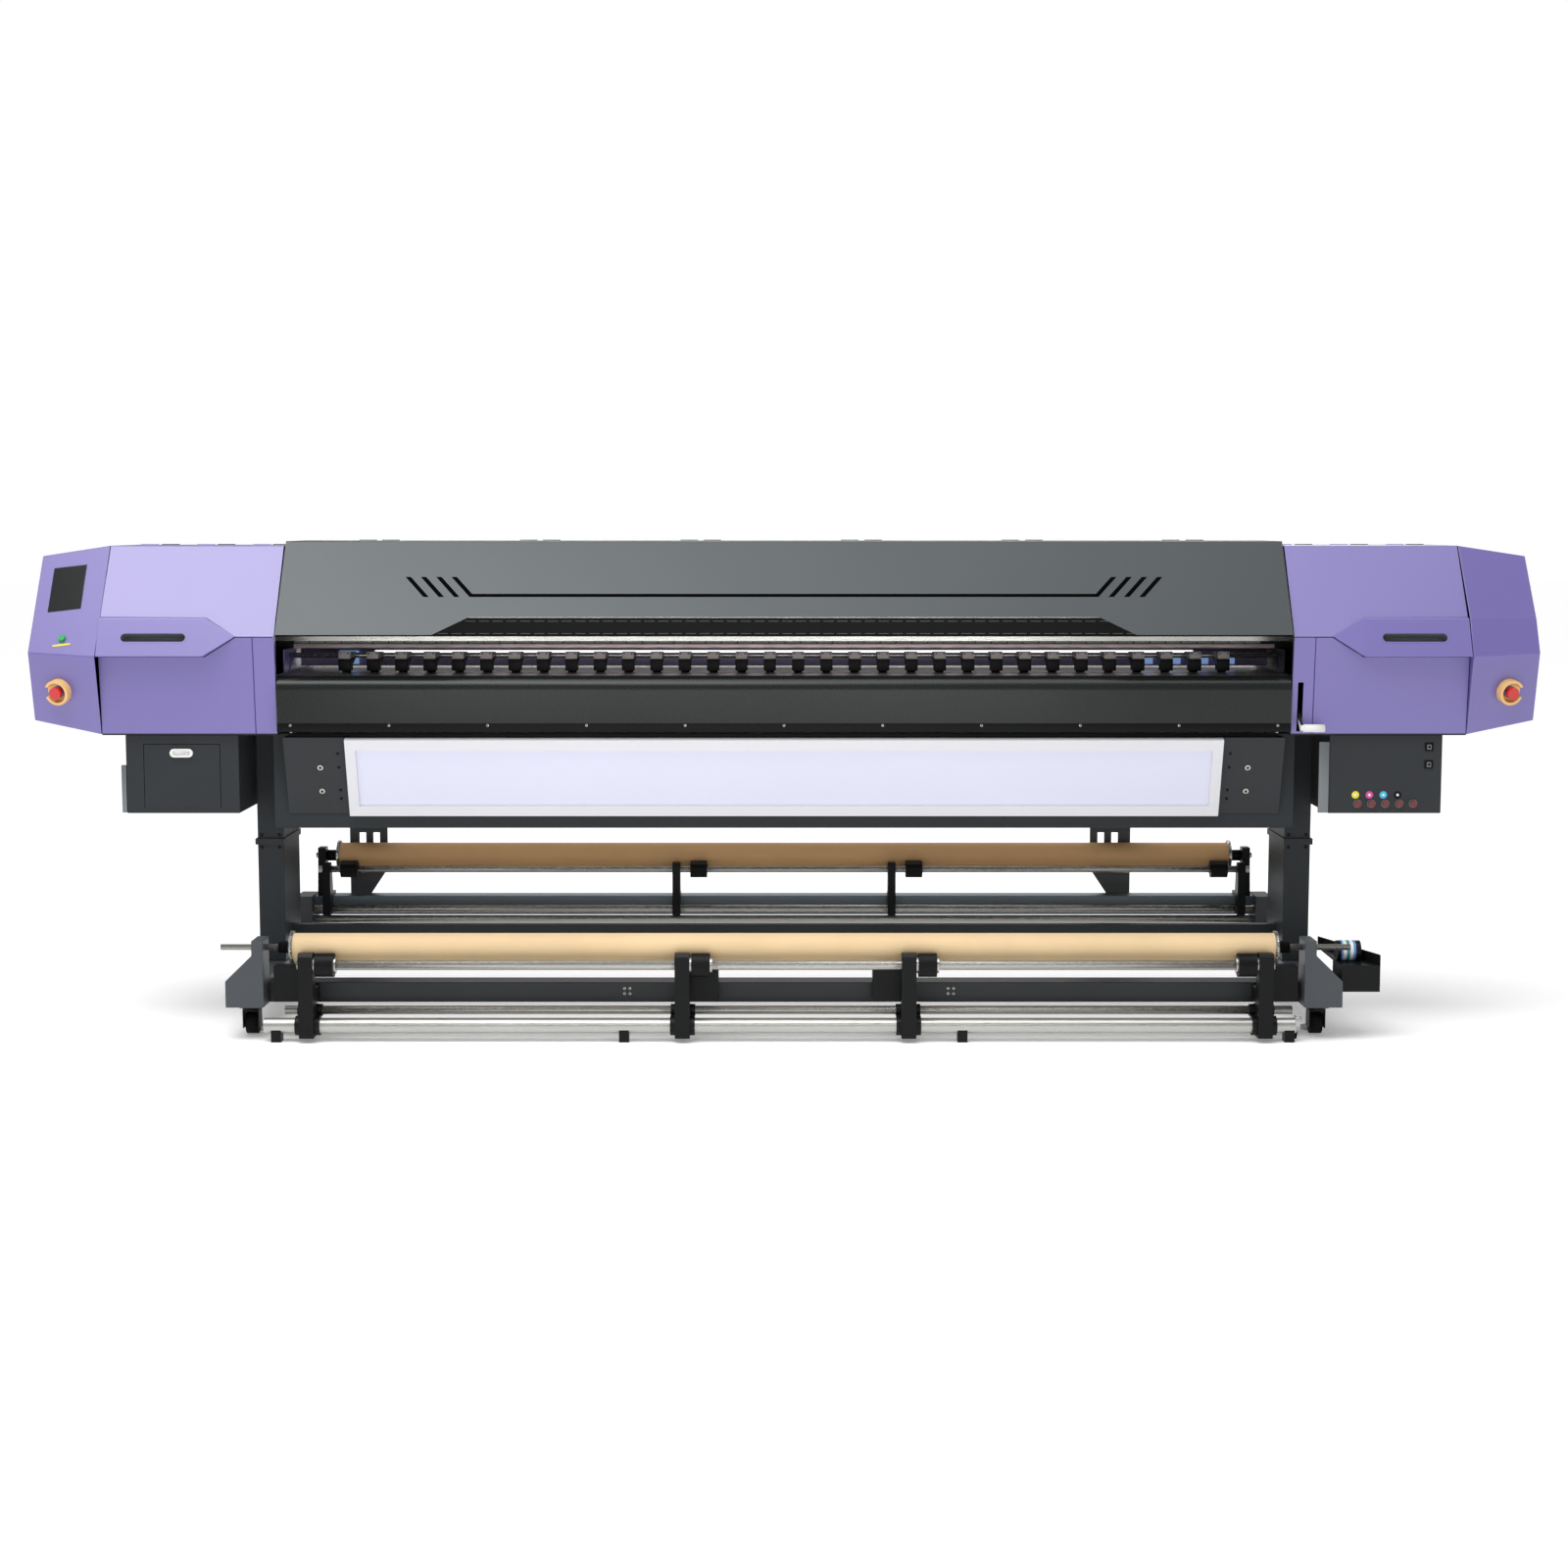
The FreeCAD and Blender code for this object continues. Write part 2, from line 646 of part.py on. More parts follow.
end_plates = []
for side in (-1, 1):
    x0, x1 = sorted((side * (dryer_half + seat_gap), side * dryer_plate_half))
    front = slab(0.0, 1.0, -4, 0, x0, x1)
    wedge = [dryer_bottom, dryer_top, (-beam_half_depth, dryer_top[1]), (-beam_half_depth, dryer_bottom[1])]
    webs = [prism_x(wedge, x0, x0 + 4), prism_x(wedge, x1 - 4, x1)]
    end_plates.append(join(front, *webs))
save("dryer_end_plates", *end_plates)
rim = slab(0.0, 1.0, 0, dryer_depth, -dryer_half, dryer_half)
rim = rim.cut(slab(0.13, 0.87, -1, dryer_depth + 1, -dryer_half + 34, dryer_half - 34))
save("dryer_frame", rim)
save("dryer_panel", slab(0.13, 0.87, 2, dryer_depth - 8, -dryer_half + 34, dryer_half - 34))


# platen and the two aprons that lead the media over it

def apron_sheet(d):
    """Outline of the front apron moved inwards by d, as a face across X."""
    front, nose_r = -345.0, 45.0
    x = -hood_half + 1
    top = platen_z
    a = V(x, platen_front_y, top - d)
    b = V(x, front + nose_r, top - d)
    mid = V(x, front + nose_r - (nose_r - d) * math.sin(math.pi / 4),
            top - nose_r + (nose_r - d) * math.cos(math.pi / 4))
    c = V(x, front + d, top - nose_r)
    e = V(x, front + d, 1026.0)
    back = V(x, platen_front_y, 1026.0)
    edges = [Part.LineSegment(a, b).toShape(), Part.Arc(b, mid, c).toShape(),
             Part.LineSegment(c, e).toShape(), Part.LineSegment(e, back).toShape(),
             Part.LineSegment(back, a).toShape()]
    return Part.Face(Part.Wire(edges))


apron_width = 2 * hood_half - 2
outer_apron = apron_sheet(0.0).extrude(V(apron_width, 0, 0))
apron = outer_apron.cut(apron_sheet(wall).extrude(V(apron_width, 0, 0)))
lip = box(-hood_half + 1, hood_half - 1, -345 + wall, -beam_half_depth - 5, 1010, 1026)
lip = lip.cut(box(-hood_half, hood_half, -345 + 2 * wall, -beam_half_depth, 1013, 1027))
lip = lip.fuse(box(-hood_half + 1, hood_half - 1, -345, -345 + wall, 1010, 1026))
apron = join(apron, lip)
rear_apron = prism_x([(platen_back_y, platen_z), (290, platen_z), (318, platen_z - 40), (318, 1030),
                      (315, 1030), (315, platen_z - 41), (288, platen_z - 3), (platen_back_y, platen_z - 3)],
                     -hood_half + 1, hood_half - 1)
save("media_aprons", apron, rear_apron)
platen = box(-hood_half + 1, hood_half - 1, platen_front_y, platen_back_y,
             platen_z - platen_thickness, platen_z)
platen = platen.cut(box(-1560, 1560, grit_y - grit_r - 1, grit_y + grit_r + 1,
                        platen_z - platen_thickness - 1, platen_z + 1))
ribs = [box(x, x + 8, 5 - beam_half_depth, platen_back_y - 20, deck_z, platen_z - platen_thickness)
        for x in (-1640.0, 1632.0)]
platen = join(platen, *ribs)
save("platen", platen.cut(cyl_x(grit_y, platen_z - grit_r, 8.05, -1700, 1700)))
grit = join(cyl_x(grit_y, platen_z - grit_r, grit_r, -1550, 1550),
            cyl_x(grit_y, platen_z - grit_r, 8.0, -1690, 1690))
save("grit_roller", grit)


# pinch rollers on one lifting shaft, worked by a lever

pinch_axis_z = platen_z + 2 * touch_gap + pinch_r
arm_width = 40.0
arms = cyl_x(shaft_y, shaft_z, lift_shaft_r, -bulk_in - 12, bulk_in + 12)
wheels = []
for i in range(pinch_count):
    x = (i - (pinch_count - 1) / 2) * pinch_pitch
    arm = prism_x([(shaft_y + 12, shaft_z - 10), (shaft_y + 12, shaft_z + 12), (-150, 1247),
                   (-168, 1238), (-168, 1214), (-150, 1210), (-110, 1210)], x - 20, x + 20)
    cheek_z = pinch_axis_z - 5
    cheeks = box(x - 20, x + 20, grit_y - 8, grit_y + 8, cheek_z, 1222)
    cheeks = cheeks.cut(box(x - 15, x + 15, grit_y - 20, grit_y + 20, cheek_z - 1, 1206))
    arm = arm.cut(cyl_x(grit_y, pinch_axis_z, pinch_r + 1, x - 15, x + 15))
    arms = arms.fuse(join(arm, cheeks).cut(cyl_x(grit_y, pinch_axis_z, 3.05, x - 21, x + 21)))
    wheels.append(join(cyl_x(grit_y, pinch_axis_z, pinch_r, x - 14, x + 14),
                       cyl_x(grit_y, pinch_axis_z, 3.0, x - 20, x + 20)))
save("pinch_arms", arms)
save("pinch_wheels", *wheels)
lever = join(cyl_x(lever_y, lever_z, 14.0, lever_x0, lever_x1),
             cyl_x(lever_y, lever_z, 8.0, lever_x0 - 10, lever_x0),
             prism_x([(lever_y - 8, lever_z + 8), (-300, 1070), (-372, 1022), (-372, 1006),
                      (-360, 1002), (-300, 1046), (lever_y, lever_z - 12)], lever_x0, lever_x1))
save("lift_lever", lever, cyl_x(-366, 1012, 13.0, lever_x1, lever_x1 + 70))


# carriage beam, rails and carriage

beam_back_y = rail_beam_front_y + rail_beam_depth
rail_beam = box(-rail_half, rail_half, rail_beam_front_y, beam_back_y, rail_beam_z,
                rail_beam_z + rail_beam_height)
rail_beam = rail_beam.cut(box(-rail_half - 1, rail_half + 1, rail_beam_front_y + 6, beam_back_y - 6,
                              rail_beam_z + 6, rail_beam_z + rail_beam_height - 6))
rails = [box(-rail_half + 20, rail_half - 20, rail_beam_front_y - rail_size[0], rail_beam_front_y,
             z - rail_size[1] / 2, z + rail_size[1] / 2) for z in rail_z]
cx0, cx1 = carriage_park_x - carriage_half, carriage_park_x + carriage_half
back = rail_beam_front_y - rail_size[0] - 1
carriage = prism_x([(-285, 1262), (-285, 1385), (-228, 1470), (back, 1470), (back, 1262)], cx0, cx1)
for z in rail_z:
    for x in (cx0 + 30, cx1 - 110):
        runner = box(x, x + 80, back - 1, rail_beam_front_y - 1, z - 20, z + 20)
        slot = box(x - 1, x + 81, rail_beam_front_y - rail_size[0] - rail_fit, rail_beam_front_y,
                   z - rail_size[1] / 2 - rail_fit, z + rail_size[1] / 2 + rail_fit)
        carriage = carriage.fuse(runner).cut(slot)
belt_low = pulley_z - pulley_r
clamp = box(carriage_park_x - 30, carriage_park_x + 30, back - 1, belt_y[1], belt_low + 1, belt_low + 9)
save("print_carriage", join(carriage, clamp))
heads = [box(cx0 + 40 + i * 84, cx0 + 108 + i * 84, -280, -176, platen_z + 5, 1262) for i in range(4)]
save("print_heads", *heads)


def race(r, y0, y1):
    ring = join(cyl_y(-pulley_x, pulley_z, r, y0, y1), cyl_y(pulley_x, pulley_z, r, y0, y1),
                box(-pulley_x, pulley_x, y0, y1, pulley_z - r, pulley_z + r))
    return ring


belt = race(pulley_r + touch_gap + belt_thickness, *belt_y).cut(
    race(pulley_r + touch_gap, belt_y[0] - 1, belt_y[1] + 1))
save("carriage_belt", belt)
beam_top = rail_beam_z + rail_beam_height
motor = join(box(pulley_x - 28, pulley_x + 20, 2, 60, beam_top, 1458),
             cyl_y(pulley_x, pulley_z, 12, -14, 2))
motor = motor.cut(cyl_y(pulley_x, pulley_z, 4.05, -20, 30))
idler = box(-pulley_x - 20, -pulley_x + 20, -12, 10, beam_top, 1450)
idler = idler.cut(cyl_y(-pulley_x, pulley_z, 4.05, -20, 30))
save("carriage_motor", motor)
save("carriage_beam", rail_beam, *rails, idler)
for x, word in ((pulley_x, "motor_pulley"), (-pulley_x, "idler_pulley")):
    save(word, join(cyl_y(x, pulley_z, pulley_r, belt_y[0], belt_y[1]),
                    cyl_y(x, pulley_z, 4.0, belt_y[1], 8)))
station = box(carriage_park_x - 170, carriage_park_x + 170, -290, -165, deck_z + 6, 1150)
caps_row = [box(cx0 + 42 + i * 84, cx0 + 106 + i * 84, -276, -180, 1150, platen_z) for i in range(4)]
save("capping_station", join(station, *caps_row))


# front take-up roll and its stand

def core(axis):
    return cyl_x(*axis, core_r, -core_half, core_half).cut(
        cyl_x(*axis, core_bore_r, -core_half - 1, core_half + 1))


def chuck(axis, side, reach):
    """A flange against the core's end, a nose inside it and a spindle through the bracket."""
    flange = cyl_x(*axis, core_r + 8, core_half + touch_gap, core_half + 10)
    nose = cyl_x(*axis, core_bore_r - touch_gap, core_half - 60, core_half + 5)
    hub = cyl_x(*axis, 20, core_half + 5, core_half + 50)
    spindle = cyl_x(*axis, spindle_r, core_half + 45, reach)
    whole = join(flange, nose, hub, spindle)
    return whole if side > 0 else mirrored(whole)


save("takeup_core", core(take_axis))
save("takeup_chucks", chuck(take_axis, -1, 1840), chuck(take_axis, 1, 1850))
save("supply_core", core(supply_axis))
save("supply_chucks", chuck(supply_axis, -1, 1690), chuck(supply_axis, 1, 1690))

support_dy, support_dz = -0.838, -0.546


def support_centre(axis, r):
    reach = core_r + r + touch_gap
    return axis[0] + support_dy * reach, axis[1] + support_dz * reach


def support_shaft(name, axis, r, shaft_r, xs, sides, clear):
    y, z = support_centre(axis, r)
    shaft = cyl_x(y, z, shaft_r, xs[0] - 30, xs[-1] + 30)
    rubber = []
    for x, side in zip(xs, sides):
        start = x + side * clear - (0 if side > 0 else 60)
        roll = cyl_x(y, z, r, start, start + 60).cut(cyl_x(y, z, shaft_r, start - 1, start + 61))
        rubber.append(roll)
    save(name + "_support_shaft", shaft, *rubber)
    return y, z


take_support = support_shaft("takeup", take_axis, support_r, support_shaft_r, stand_x, (1, 1, 1, -1), 30)
supply_support = support_shaft("supply", supply_axis, supply_support_r, 12.0,
                               supply_stand_x, (1, 1, 1, -1), 50)

low_tube = (-490.0, 52.0)
low_tube_r = 25.0
guide = (-448.0, 95.0)
guide_r = 14.0
rear_guide = (395.0, 262.0)
rear_bar_pitch = 37.0
upper_guide = (rear_guide[0], rear_guide[1] + rear_bar_pitch)
stands = []
box_side = (-1, 1, -1, 1)
for x, side in zip(stand_x, box_side):
    y, z = take_support
    plate = prism_x([(y - 28, 16), (-426, 16), (-426, 112), (y + 26, 125), (y + 26, z + 30),
                     (y + 10, z + 40), (y - 20, z + 40), (y - 28, z + 30)],
                    x - stand_width / 2, x + stand_width / 2)
    plate = plate.cut(cyl_x(y, z, support_shaft_r + 0.05, x - 40, x + 40))
    plate = plate.cut(cyl_x(*low_tube, low_tube_r, x - 40, x + 40))
    plate = plate.cut(cyl_x(*guide, guide_r, x - 40, x + 40))
    x0, x1 = sorted((x + side * (stand_width / 2 - 1), x + side * (stand_width / 2 + 92)))
    arm_box = box(x0, x1, -458, cross_y[0], 125, 240)
    stands.append(join(plate, arm_box, box(x - stand_width / 2, x + stand_width / 2, -480,
                                           cross_y[0], 125, 170)))
low = cyl_x(*low_tube, low_tube_r, -1690, 1660).cut(cyl_x(*low_tube, low_tube_r - 3, -1691, 1661))
bar = cyl_x(*guide, guide_r, -1630, 1660)
rests = []
for x in (-1650.0, -520.0, 580.0, 1642.0):
    rest = box(x - 16, x + 16, low_tube[0] - 22, low_tube[0] + 22, 0, low_tube[1])
    rests.append(rest.cut(cyl_x(*low_tube, low_tube_r, x - 20, x + 20)))
save("takeup_stands", *stands, *rests)

drive_in = foot_x + foot_width / 2
drive = box(drive_in, 1941, -470, -330, 159, 240)
tray = prism_z([(drive_in, -470), (1941, -470), (1941, -455), (drive_in, -100)], 240, 246)
rail = prism_z([(1941, -470), (1941, -455), (drive_in, -88), (drive_in, -103)], 246, 280)
drive = join(drive, tray, rail)
motor_y, motor_z = take_axis[0] + 62, 279.0
save("takeup_drive", drive, cyl_x(motor_y, motor_z, 33.0, drive_in + 1, drive_in + 78))

toe_y = upper_guide[0] - guide_r - 9.0    # a stand's toe clamps the upper bar
toe_z = upper_guide[1] - guide_r - 7.0
supply_stands = []
for x, side in zip(supply_stand_x, (1, 1, -1, -1)):
    y, z = supply_support
    plate = prism_x([(rear_y[0], rear_z[1]), (rear_y[0], toe_z), (toe_y, toe_z), (toe_y, rear_z[1]),
                     (y - 26, z - 10), (y - 18, z + 24), (y + 16, z + 24), (y + 32, rear_z[1] + 20),
                     (rear_y[1] - 10, rear_z[1])], x - 14, x + 14)
    if abs(x) > 1000:
        riser = prism_x([(rear_y[0], rear_z[1]), (supply_axis[0] - 24, supply_axis[1]),
                         (supply_axis[0] - 24, supply_axis[1] + 30), (supply_axis[0] + 24, supply_axis[1] + 30),
                         (supply_axis[0] + 24, rear_z[1])], *sorted((math.copysign(1652, x),
                                                                  math.copysign(1680, x))))
        foot_pad = box(*sorted((math.copysign(1626, x), math.copysign(1680, x))), rear_y[0],
                       rear_y[1] - 10, rear_z[1], rear_z[1] + 12)
        plate = join(plate, riser, foot_pad)
        plate = plate.cut(cyl_x(*supply_axis, spindle_r + spindle_fit, -1800, 1800))
        hub_clear = cyl_x(*supply_axis, core_r + 12, -1651.5, 1651.5)
        plate = plate.cut(hub_clear)
    plate = plate.cut(cyl_x(y, z, 12.05, x - 60, x + 60))
    plate = plate.cut(cyl_x(*upper_guide, guide_r, x - 60, x + 60))
    supply_stands.append(plate)
save("supply_stands", *supply_stands)
rear_bar = cyl_x(*rear_guide, guide_r, -foot_in, foot_in)
upper_rear_bar = cyl_x(*upper_guide, guide_r, -foot_in, foot_in)
save("guide_bars", low, bar, rear_bar, upper_rear_bar)


# casters and levelling feet

def caster(x, y):
    wheel_z = caster_wheel_r + caster_lift
    wheel_y = y + caster_trail
    fork_top = 92.0
    fork = join(cyl_z(x, y, 30, fork_top - 6, fork_top),
                box(x - 27, x + 27, y - 16, wheel_y + 14, fork_top - 12, fork_top - 6),
                box(x - 27, x - 23, y - 16, wheel_y + 14, wheel_z - 12, fork_top - 6),
                box(x + 23, x + 27, y - 16, wheel_y + 14, wheel_z - 12, fork_top - 6),
                cyl_z(x, y, 8, fork_top, fork_top + 8))
    fork = fork.cut(cyl_x(wheel_y, wheel_z, 5.05, x - 40, x + 40))
    wheel = join(cyl_x(wheel_y, wheel_z, caster_wheel_r, x - 19, x + 19),
                 cyl_x(wheel_y, wheel_z, 5, x - 28, x + 28))
    plate = box(x - 34, x + 34, y - 34, y + 34, 94, foot_z)
    plate = plate.cut(cyl_z(x, y, 8.05, 93, 104))
    return fork, wheel, plate


plates = []
for sy, row in ((0, "front"), (1, "rear")):
    for side, word in ((-1, "left"), (1, "right")):
        fork, wheel, plate = caster(side * caster_x, caster_y[sy])
        save(row + "_" + word + "_caster_fork", fork)
        save(row + "_" + word + "_caster_wheel", wheel)
        plates.append(plate)
save("stand_frames", foot_frame(-1), foot_frame(1), leg(-1), leg(1), *plates)
levellers = []
for side in (-1, 1):
    for y in leveller_y:
        x = side * foot_x
        levellers.append(join(cyl_z(x, y, 32, 0, 12), cyl_z(x, y, 8, 12, foot_z),
                              cyl_z(x, y, 14, 84, 97)))
save("levelling_feet", *levellers)
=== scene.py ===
import json
import math

import bmesh
import bpy
from mathutils import Matrix, Vector


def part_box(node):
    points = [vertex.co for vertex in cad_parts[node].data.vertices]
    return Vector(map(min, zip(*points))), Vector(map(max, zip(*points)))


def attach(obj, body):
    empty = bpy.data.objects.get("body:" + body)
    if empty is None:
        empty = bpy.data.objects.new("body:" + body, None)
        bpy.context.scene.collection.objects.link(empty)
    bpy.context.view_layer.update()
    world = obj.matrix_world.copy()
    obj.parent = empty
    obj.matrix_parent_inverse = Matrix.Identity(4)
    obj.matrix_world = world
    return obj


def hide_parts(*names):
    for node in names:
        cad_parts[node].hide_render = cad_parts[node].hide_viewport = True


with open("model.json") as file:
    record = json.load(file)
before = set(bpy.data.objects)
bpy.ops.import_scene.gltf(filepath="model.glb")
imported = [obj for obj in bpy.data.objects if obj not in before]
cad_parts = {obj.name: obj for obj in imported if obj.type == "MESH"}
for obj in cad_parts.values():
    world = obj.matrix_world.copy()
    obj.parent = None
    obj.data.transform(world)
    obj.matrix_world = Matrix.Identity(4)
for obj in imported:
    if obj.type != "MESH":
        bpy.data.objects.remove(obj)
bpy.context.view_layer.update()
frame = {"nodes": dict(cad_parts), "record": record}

nodes = frame["nodes"]
print("stage: frame loaded,", len(nodes), "nodes")


# materials: every pattern is on Object coordinates, in metres

def objectCoords(tree, stretch=(1, 1, 1)):
    coords = tree.nodes.new("ShaderNodeTexCoord")
    mapping = tree.nodes.new("ShaderNodeMapping")
    mapping.inputs["Scale"].default_value = stretch
    tree.links.new(coords.outputs["Object"], mapping.inputs["Vector"])
    return mapping.outputs["Vector"]


def noise(tree, vector, scale, detail=3, rough=0.55):
    texture = tree.nodes.new("ShaderNodeTexNoise")
    texture.inputs["Scale"].default_value = scale
    texture.inputs["Detail"].default_value = detail
    texture.inputs["Roughness"].default_value = rough
    tree.links.new(vector, texture.inputs["Vector"])
    return texture.outputs["Fac"]


def spread(tree, value, low, high):
    span = tree.nodes.new("ShaderNodeMapRange")
    span.inputs["From Min"].default_value = 0.25
    span.inputs["From Max"].default_value = 0.75
    span.inputs["To Min"].default_value = low
    span.inputs["To Max"].default_value = high
    tree.links.new(value, span.inputs["Value"])
    return span.outputs["Result"]


def tones(tree, value, dark, light):
    ramp = tree.nodes.new("ShaderNodeValToRGB")
    ramp.color_ramp.elements[0].position = 0.25
    ramp.color_ramp.elements[1].position = 0.75
    ramp.color_ramp.elements[0].color = (*dark, 1)
    ramp.color_ramp.elements[1].color = (*light, 1)
    tree.links.new(value, ramp.inputs["Fac"])
    return ramp.outputs["Color"]


def bumped(tree, shader, height, strength, distance):
    bump = tree.nodes.new("ShaderNodeBump")
    bump.inputs["Strength"].default_value = strength
    bump.inputs["Distance"].default_value = distance
    tree.links.new(height, bump.inputs["Height"])
    tree.links.new(bump.outputs["Normal"], shader.inputs["Normal"])


def linear(code):
    parts = [int(code[i:i + 2], 16) / 255 for i in (0, 2, 4)]
    return [p / 12.92 if p <= 0.04045 else ((p + 0.055) / 1.055) ** 2.4 for p in parts]


def finish(name, code, rough=0.4, metal=0.0, coat=0.0, coatRough=0.2, vary=0.06,
           grain=320, bump=0.12, depth=0.0003, stretch=(1, 1, 1), patch=2.2,
           roughVary=0.06, shine=0.5, glow=0.0):
    # one satin finish: slow colour drift, a fine grain in the surface and patchy gloss
    material = bpy.data.materials.new(name)
    material.use_nodes = True
    tree = material.node_tree
    shader = tree.nodes["Principled BSDF"]
    base = linear(code)
    plain = objectCoords(tree)
    drift = noise(tree, plain, patch)
    dark = [max(0.0, c * (1 - vary)) for c in base]
    light = [min(1.0, c * (1 + vary)) for c in base]
    tree.links.new(tones(tree, drift, dark, light), shader.inputs["Base Color"])
    along = objectCoords(tree, stretch)
    fine = noise(tree, along, grain, detail=2)
    tree.links.new(spread(tree, fine, rough - roughVary, rough + roughVary),
                   shader.inputs["Roughness"])
    bumped(tree, shader, fine, bump, depth)
    shader.inputs["Metallic"].default_value = metal
    shader.inputs["Specular IOR Level"].default_value = shine
    if glow:
        shader.inputs["Emission Color"].default_value = (*base, 1)
        shader.inputs["Emission Strength"].default_value = glow
    shader.inputs["Coat Weight"].default_value = coat
    shader.inputs["Coat Roughness"].default_value = coatRough
    return material


alongX = (0.02, 1, 1)
paints = {
    "purplePaint": finish("purplePaint", "6f64a9", rough=0.42, coat=1.0, coatRough=0.36,
                          vary=0.03, bump=0.08),
    "hoodPaint": finish("hoodPaint", "2b3235", rough=0.38, metal=0.35, coat=0.25,
                        coatRough=0.34, vary=0.05),
    "charcoalPaint": finish("charcoalPaint", "2d3033", rough=0.42, shine=0.25, vary=0.1),
    "apronPaint": finish("apronPaint", "1c201f", rough=0.28, metal=0.2, shine=0.35, vary=0.1),
    "footPaint": finish("footPaint", "484c50", rough=0.45, shine=0.3, vary=0.08),
    "beamPaint": finish("beamPaint", "2e3235", rough=0.5, shine=0.2, vary=0.08),
    "blackPaint": finish("blackPaint", "111213", rough=0.4, shine=0.16, vary=0.15),
    "blackPlastic": finish("blackPlastic", "0d0d0e", rough=0.45, shine=0.14, vary=0.2,
                           grain=900, bump=0.2),
    "rubber": finish("rubber", "111112", rough=0.75, shine=0.14, vary=0.2, grain=500, bump=0.3),
    "steel": finish("steel", "b0afa9", rough=0.24, metal=0.8, vary=0.02, stretch=alongX,
                    grain=900, bump=0.08),
    "brushedAluminium": finish("brushedAluminium", "b4b4b0", rough=0.32, metal=0.75, vary=0.06,
                               stretch=alongX, grain=700, bump=0.15, roughVary=0.1),
    "warmAluminium": finish("warmAluminium", "cfc3bd", rough=0.34, metal=0.9, vary=0.06,
                            stretch=alongX, grain=700, bump=0.12, roughVary=0.1),
    "castAluminium": finish("castAluminium", "7d8184", rough=0.45, metal=0.8, vary=0.1,
                            grain=400, bump=0.2),
    "pinkAluminium": finish("pinkAluminium", "cfbbb7", rough=0.4, metal=0.5, vary=0.08,
                            stretch=alongX, grain=700, bump=0.12, roughVary=0.1),
    "extrusion": finish("extrusion", "74808a", rough=0.4, metal=0.7, vary=0.06, stretch=alongX,
                        grain=600, bump=0.12),
    # near-black painted shade, laid over the hood slots' openings
    "slotShadeBlack": finish("slotShadeBlack", "020202", rough=0.9, shine=0.05, vary=0.1),
    "deepPurple": finish("deepPurple", "40376e", rough=0.5, shine=0.2, vary=0.05),
    "lilacSteel": finish("lilacSteel", "8d84a8", rough=0.4, metal=0.3, vary=0.12, patch=5),
    "bezelPlastic": finish("bezelPlastic", "a79fcb", rough=0.3, coat=0.2, vary=0.03),
    "ledWhite": finish("ledWhite", "ffffff", rough=0.5, vary=0.02, bump=0.0, glow=1.4),
    "frameWhite": finish("frameWhite", "dadadf", rough=0.34, metal=0.2, vary=0.008),
    "panelWhite": finish("panelWhite", "dddff2", rough=0.5, vary=0.015, patch=1.2),
    "frontCard": finish("frontCard", "dcc095", rough=0.72, vary=0.07, grain=240, bump=0.25,
                        stretch=(0.2, 1, 1), patch=3.5),
    "rearCard": finish("rearCard", "d2a673", rough=0.72, vary=0.09, grain=240, bump=0.25,
                       stretch=(0.2, 1, 1), patch=3.5),
    "glass": finish("glass", "101414", rough=0.14, coat=0.2, coatRough=0.08, vary=0.3, patch=14,
                    bump=0.0, roughVary=0.02),
    "greenPlastic": finish("greenPlastic", "1f9d55", rough=0.35, coat=0.3, vary=0.08),
    "redPlastic": finish("redPlastic", "cf1a20", rough=0.3, coat=0.5, vary=0.06),
    "darkRedPlastic": finish("darkRedPlastic", "6a1216", rough=0.35, coat=0.3, vary=0.1),
    "creamPlastic": finish("creamPlastic", "eebf7c", rough=0.4, vary=0.05),
    "whitePlastic": finish("whitePlastic", "e9e9e7", rough=0.38, vary=0.02, grain=800),
    "taupePlastic": finish("taupePlastic", "8f8886", rough=0.42, vary=0.08, grain=700),
    "greyPlastic": finish("greyPlastic", "6f7476", rough=0.45, vary=0.06, grain=700),
    "yellowPlastic": finish("yellowPlastic", "e6d72f", rough=0.4, vary=0.05),
    "magentaPlastic": finish("magentaPlastic", "d0459a", rough=0.4, vary=0.05),
    "cyanPlastic": finish("cyanPlastic", "3fb2dc", rough=0.4, vary=0.05),
    "bluePlastic": finish("bluePlastic", "5b86c9", rough=0.35, coat=0.2, vary=0.06),
    # sky-blue plastic with a painted glow: the pads it covers are no lamps
    "skyPlasticPaintedGlow": finish("skyPlasticPaintedGlow", "8fb4ea", rough=0.35, coat=0.2, vary=0.05, glow=0.45),
    "tealPlastic": finish("tealPlastic", "2b8f95", rough=0.35, coat=0.2, vary=0.06),
}

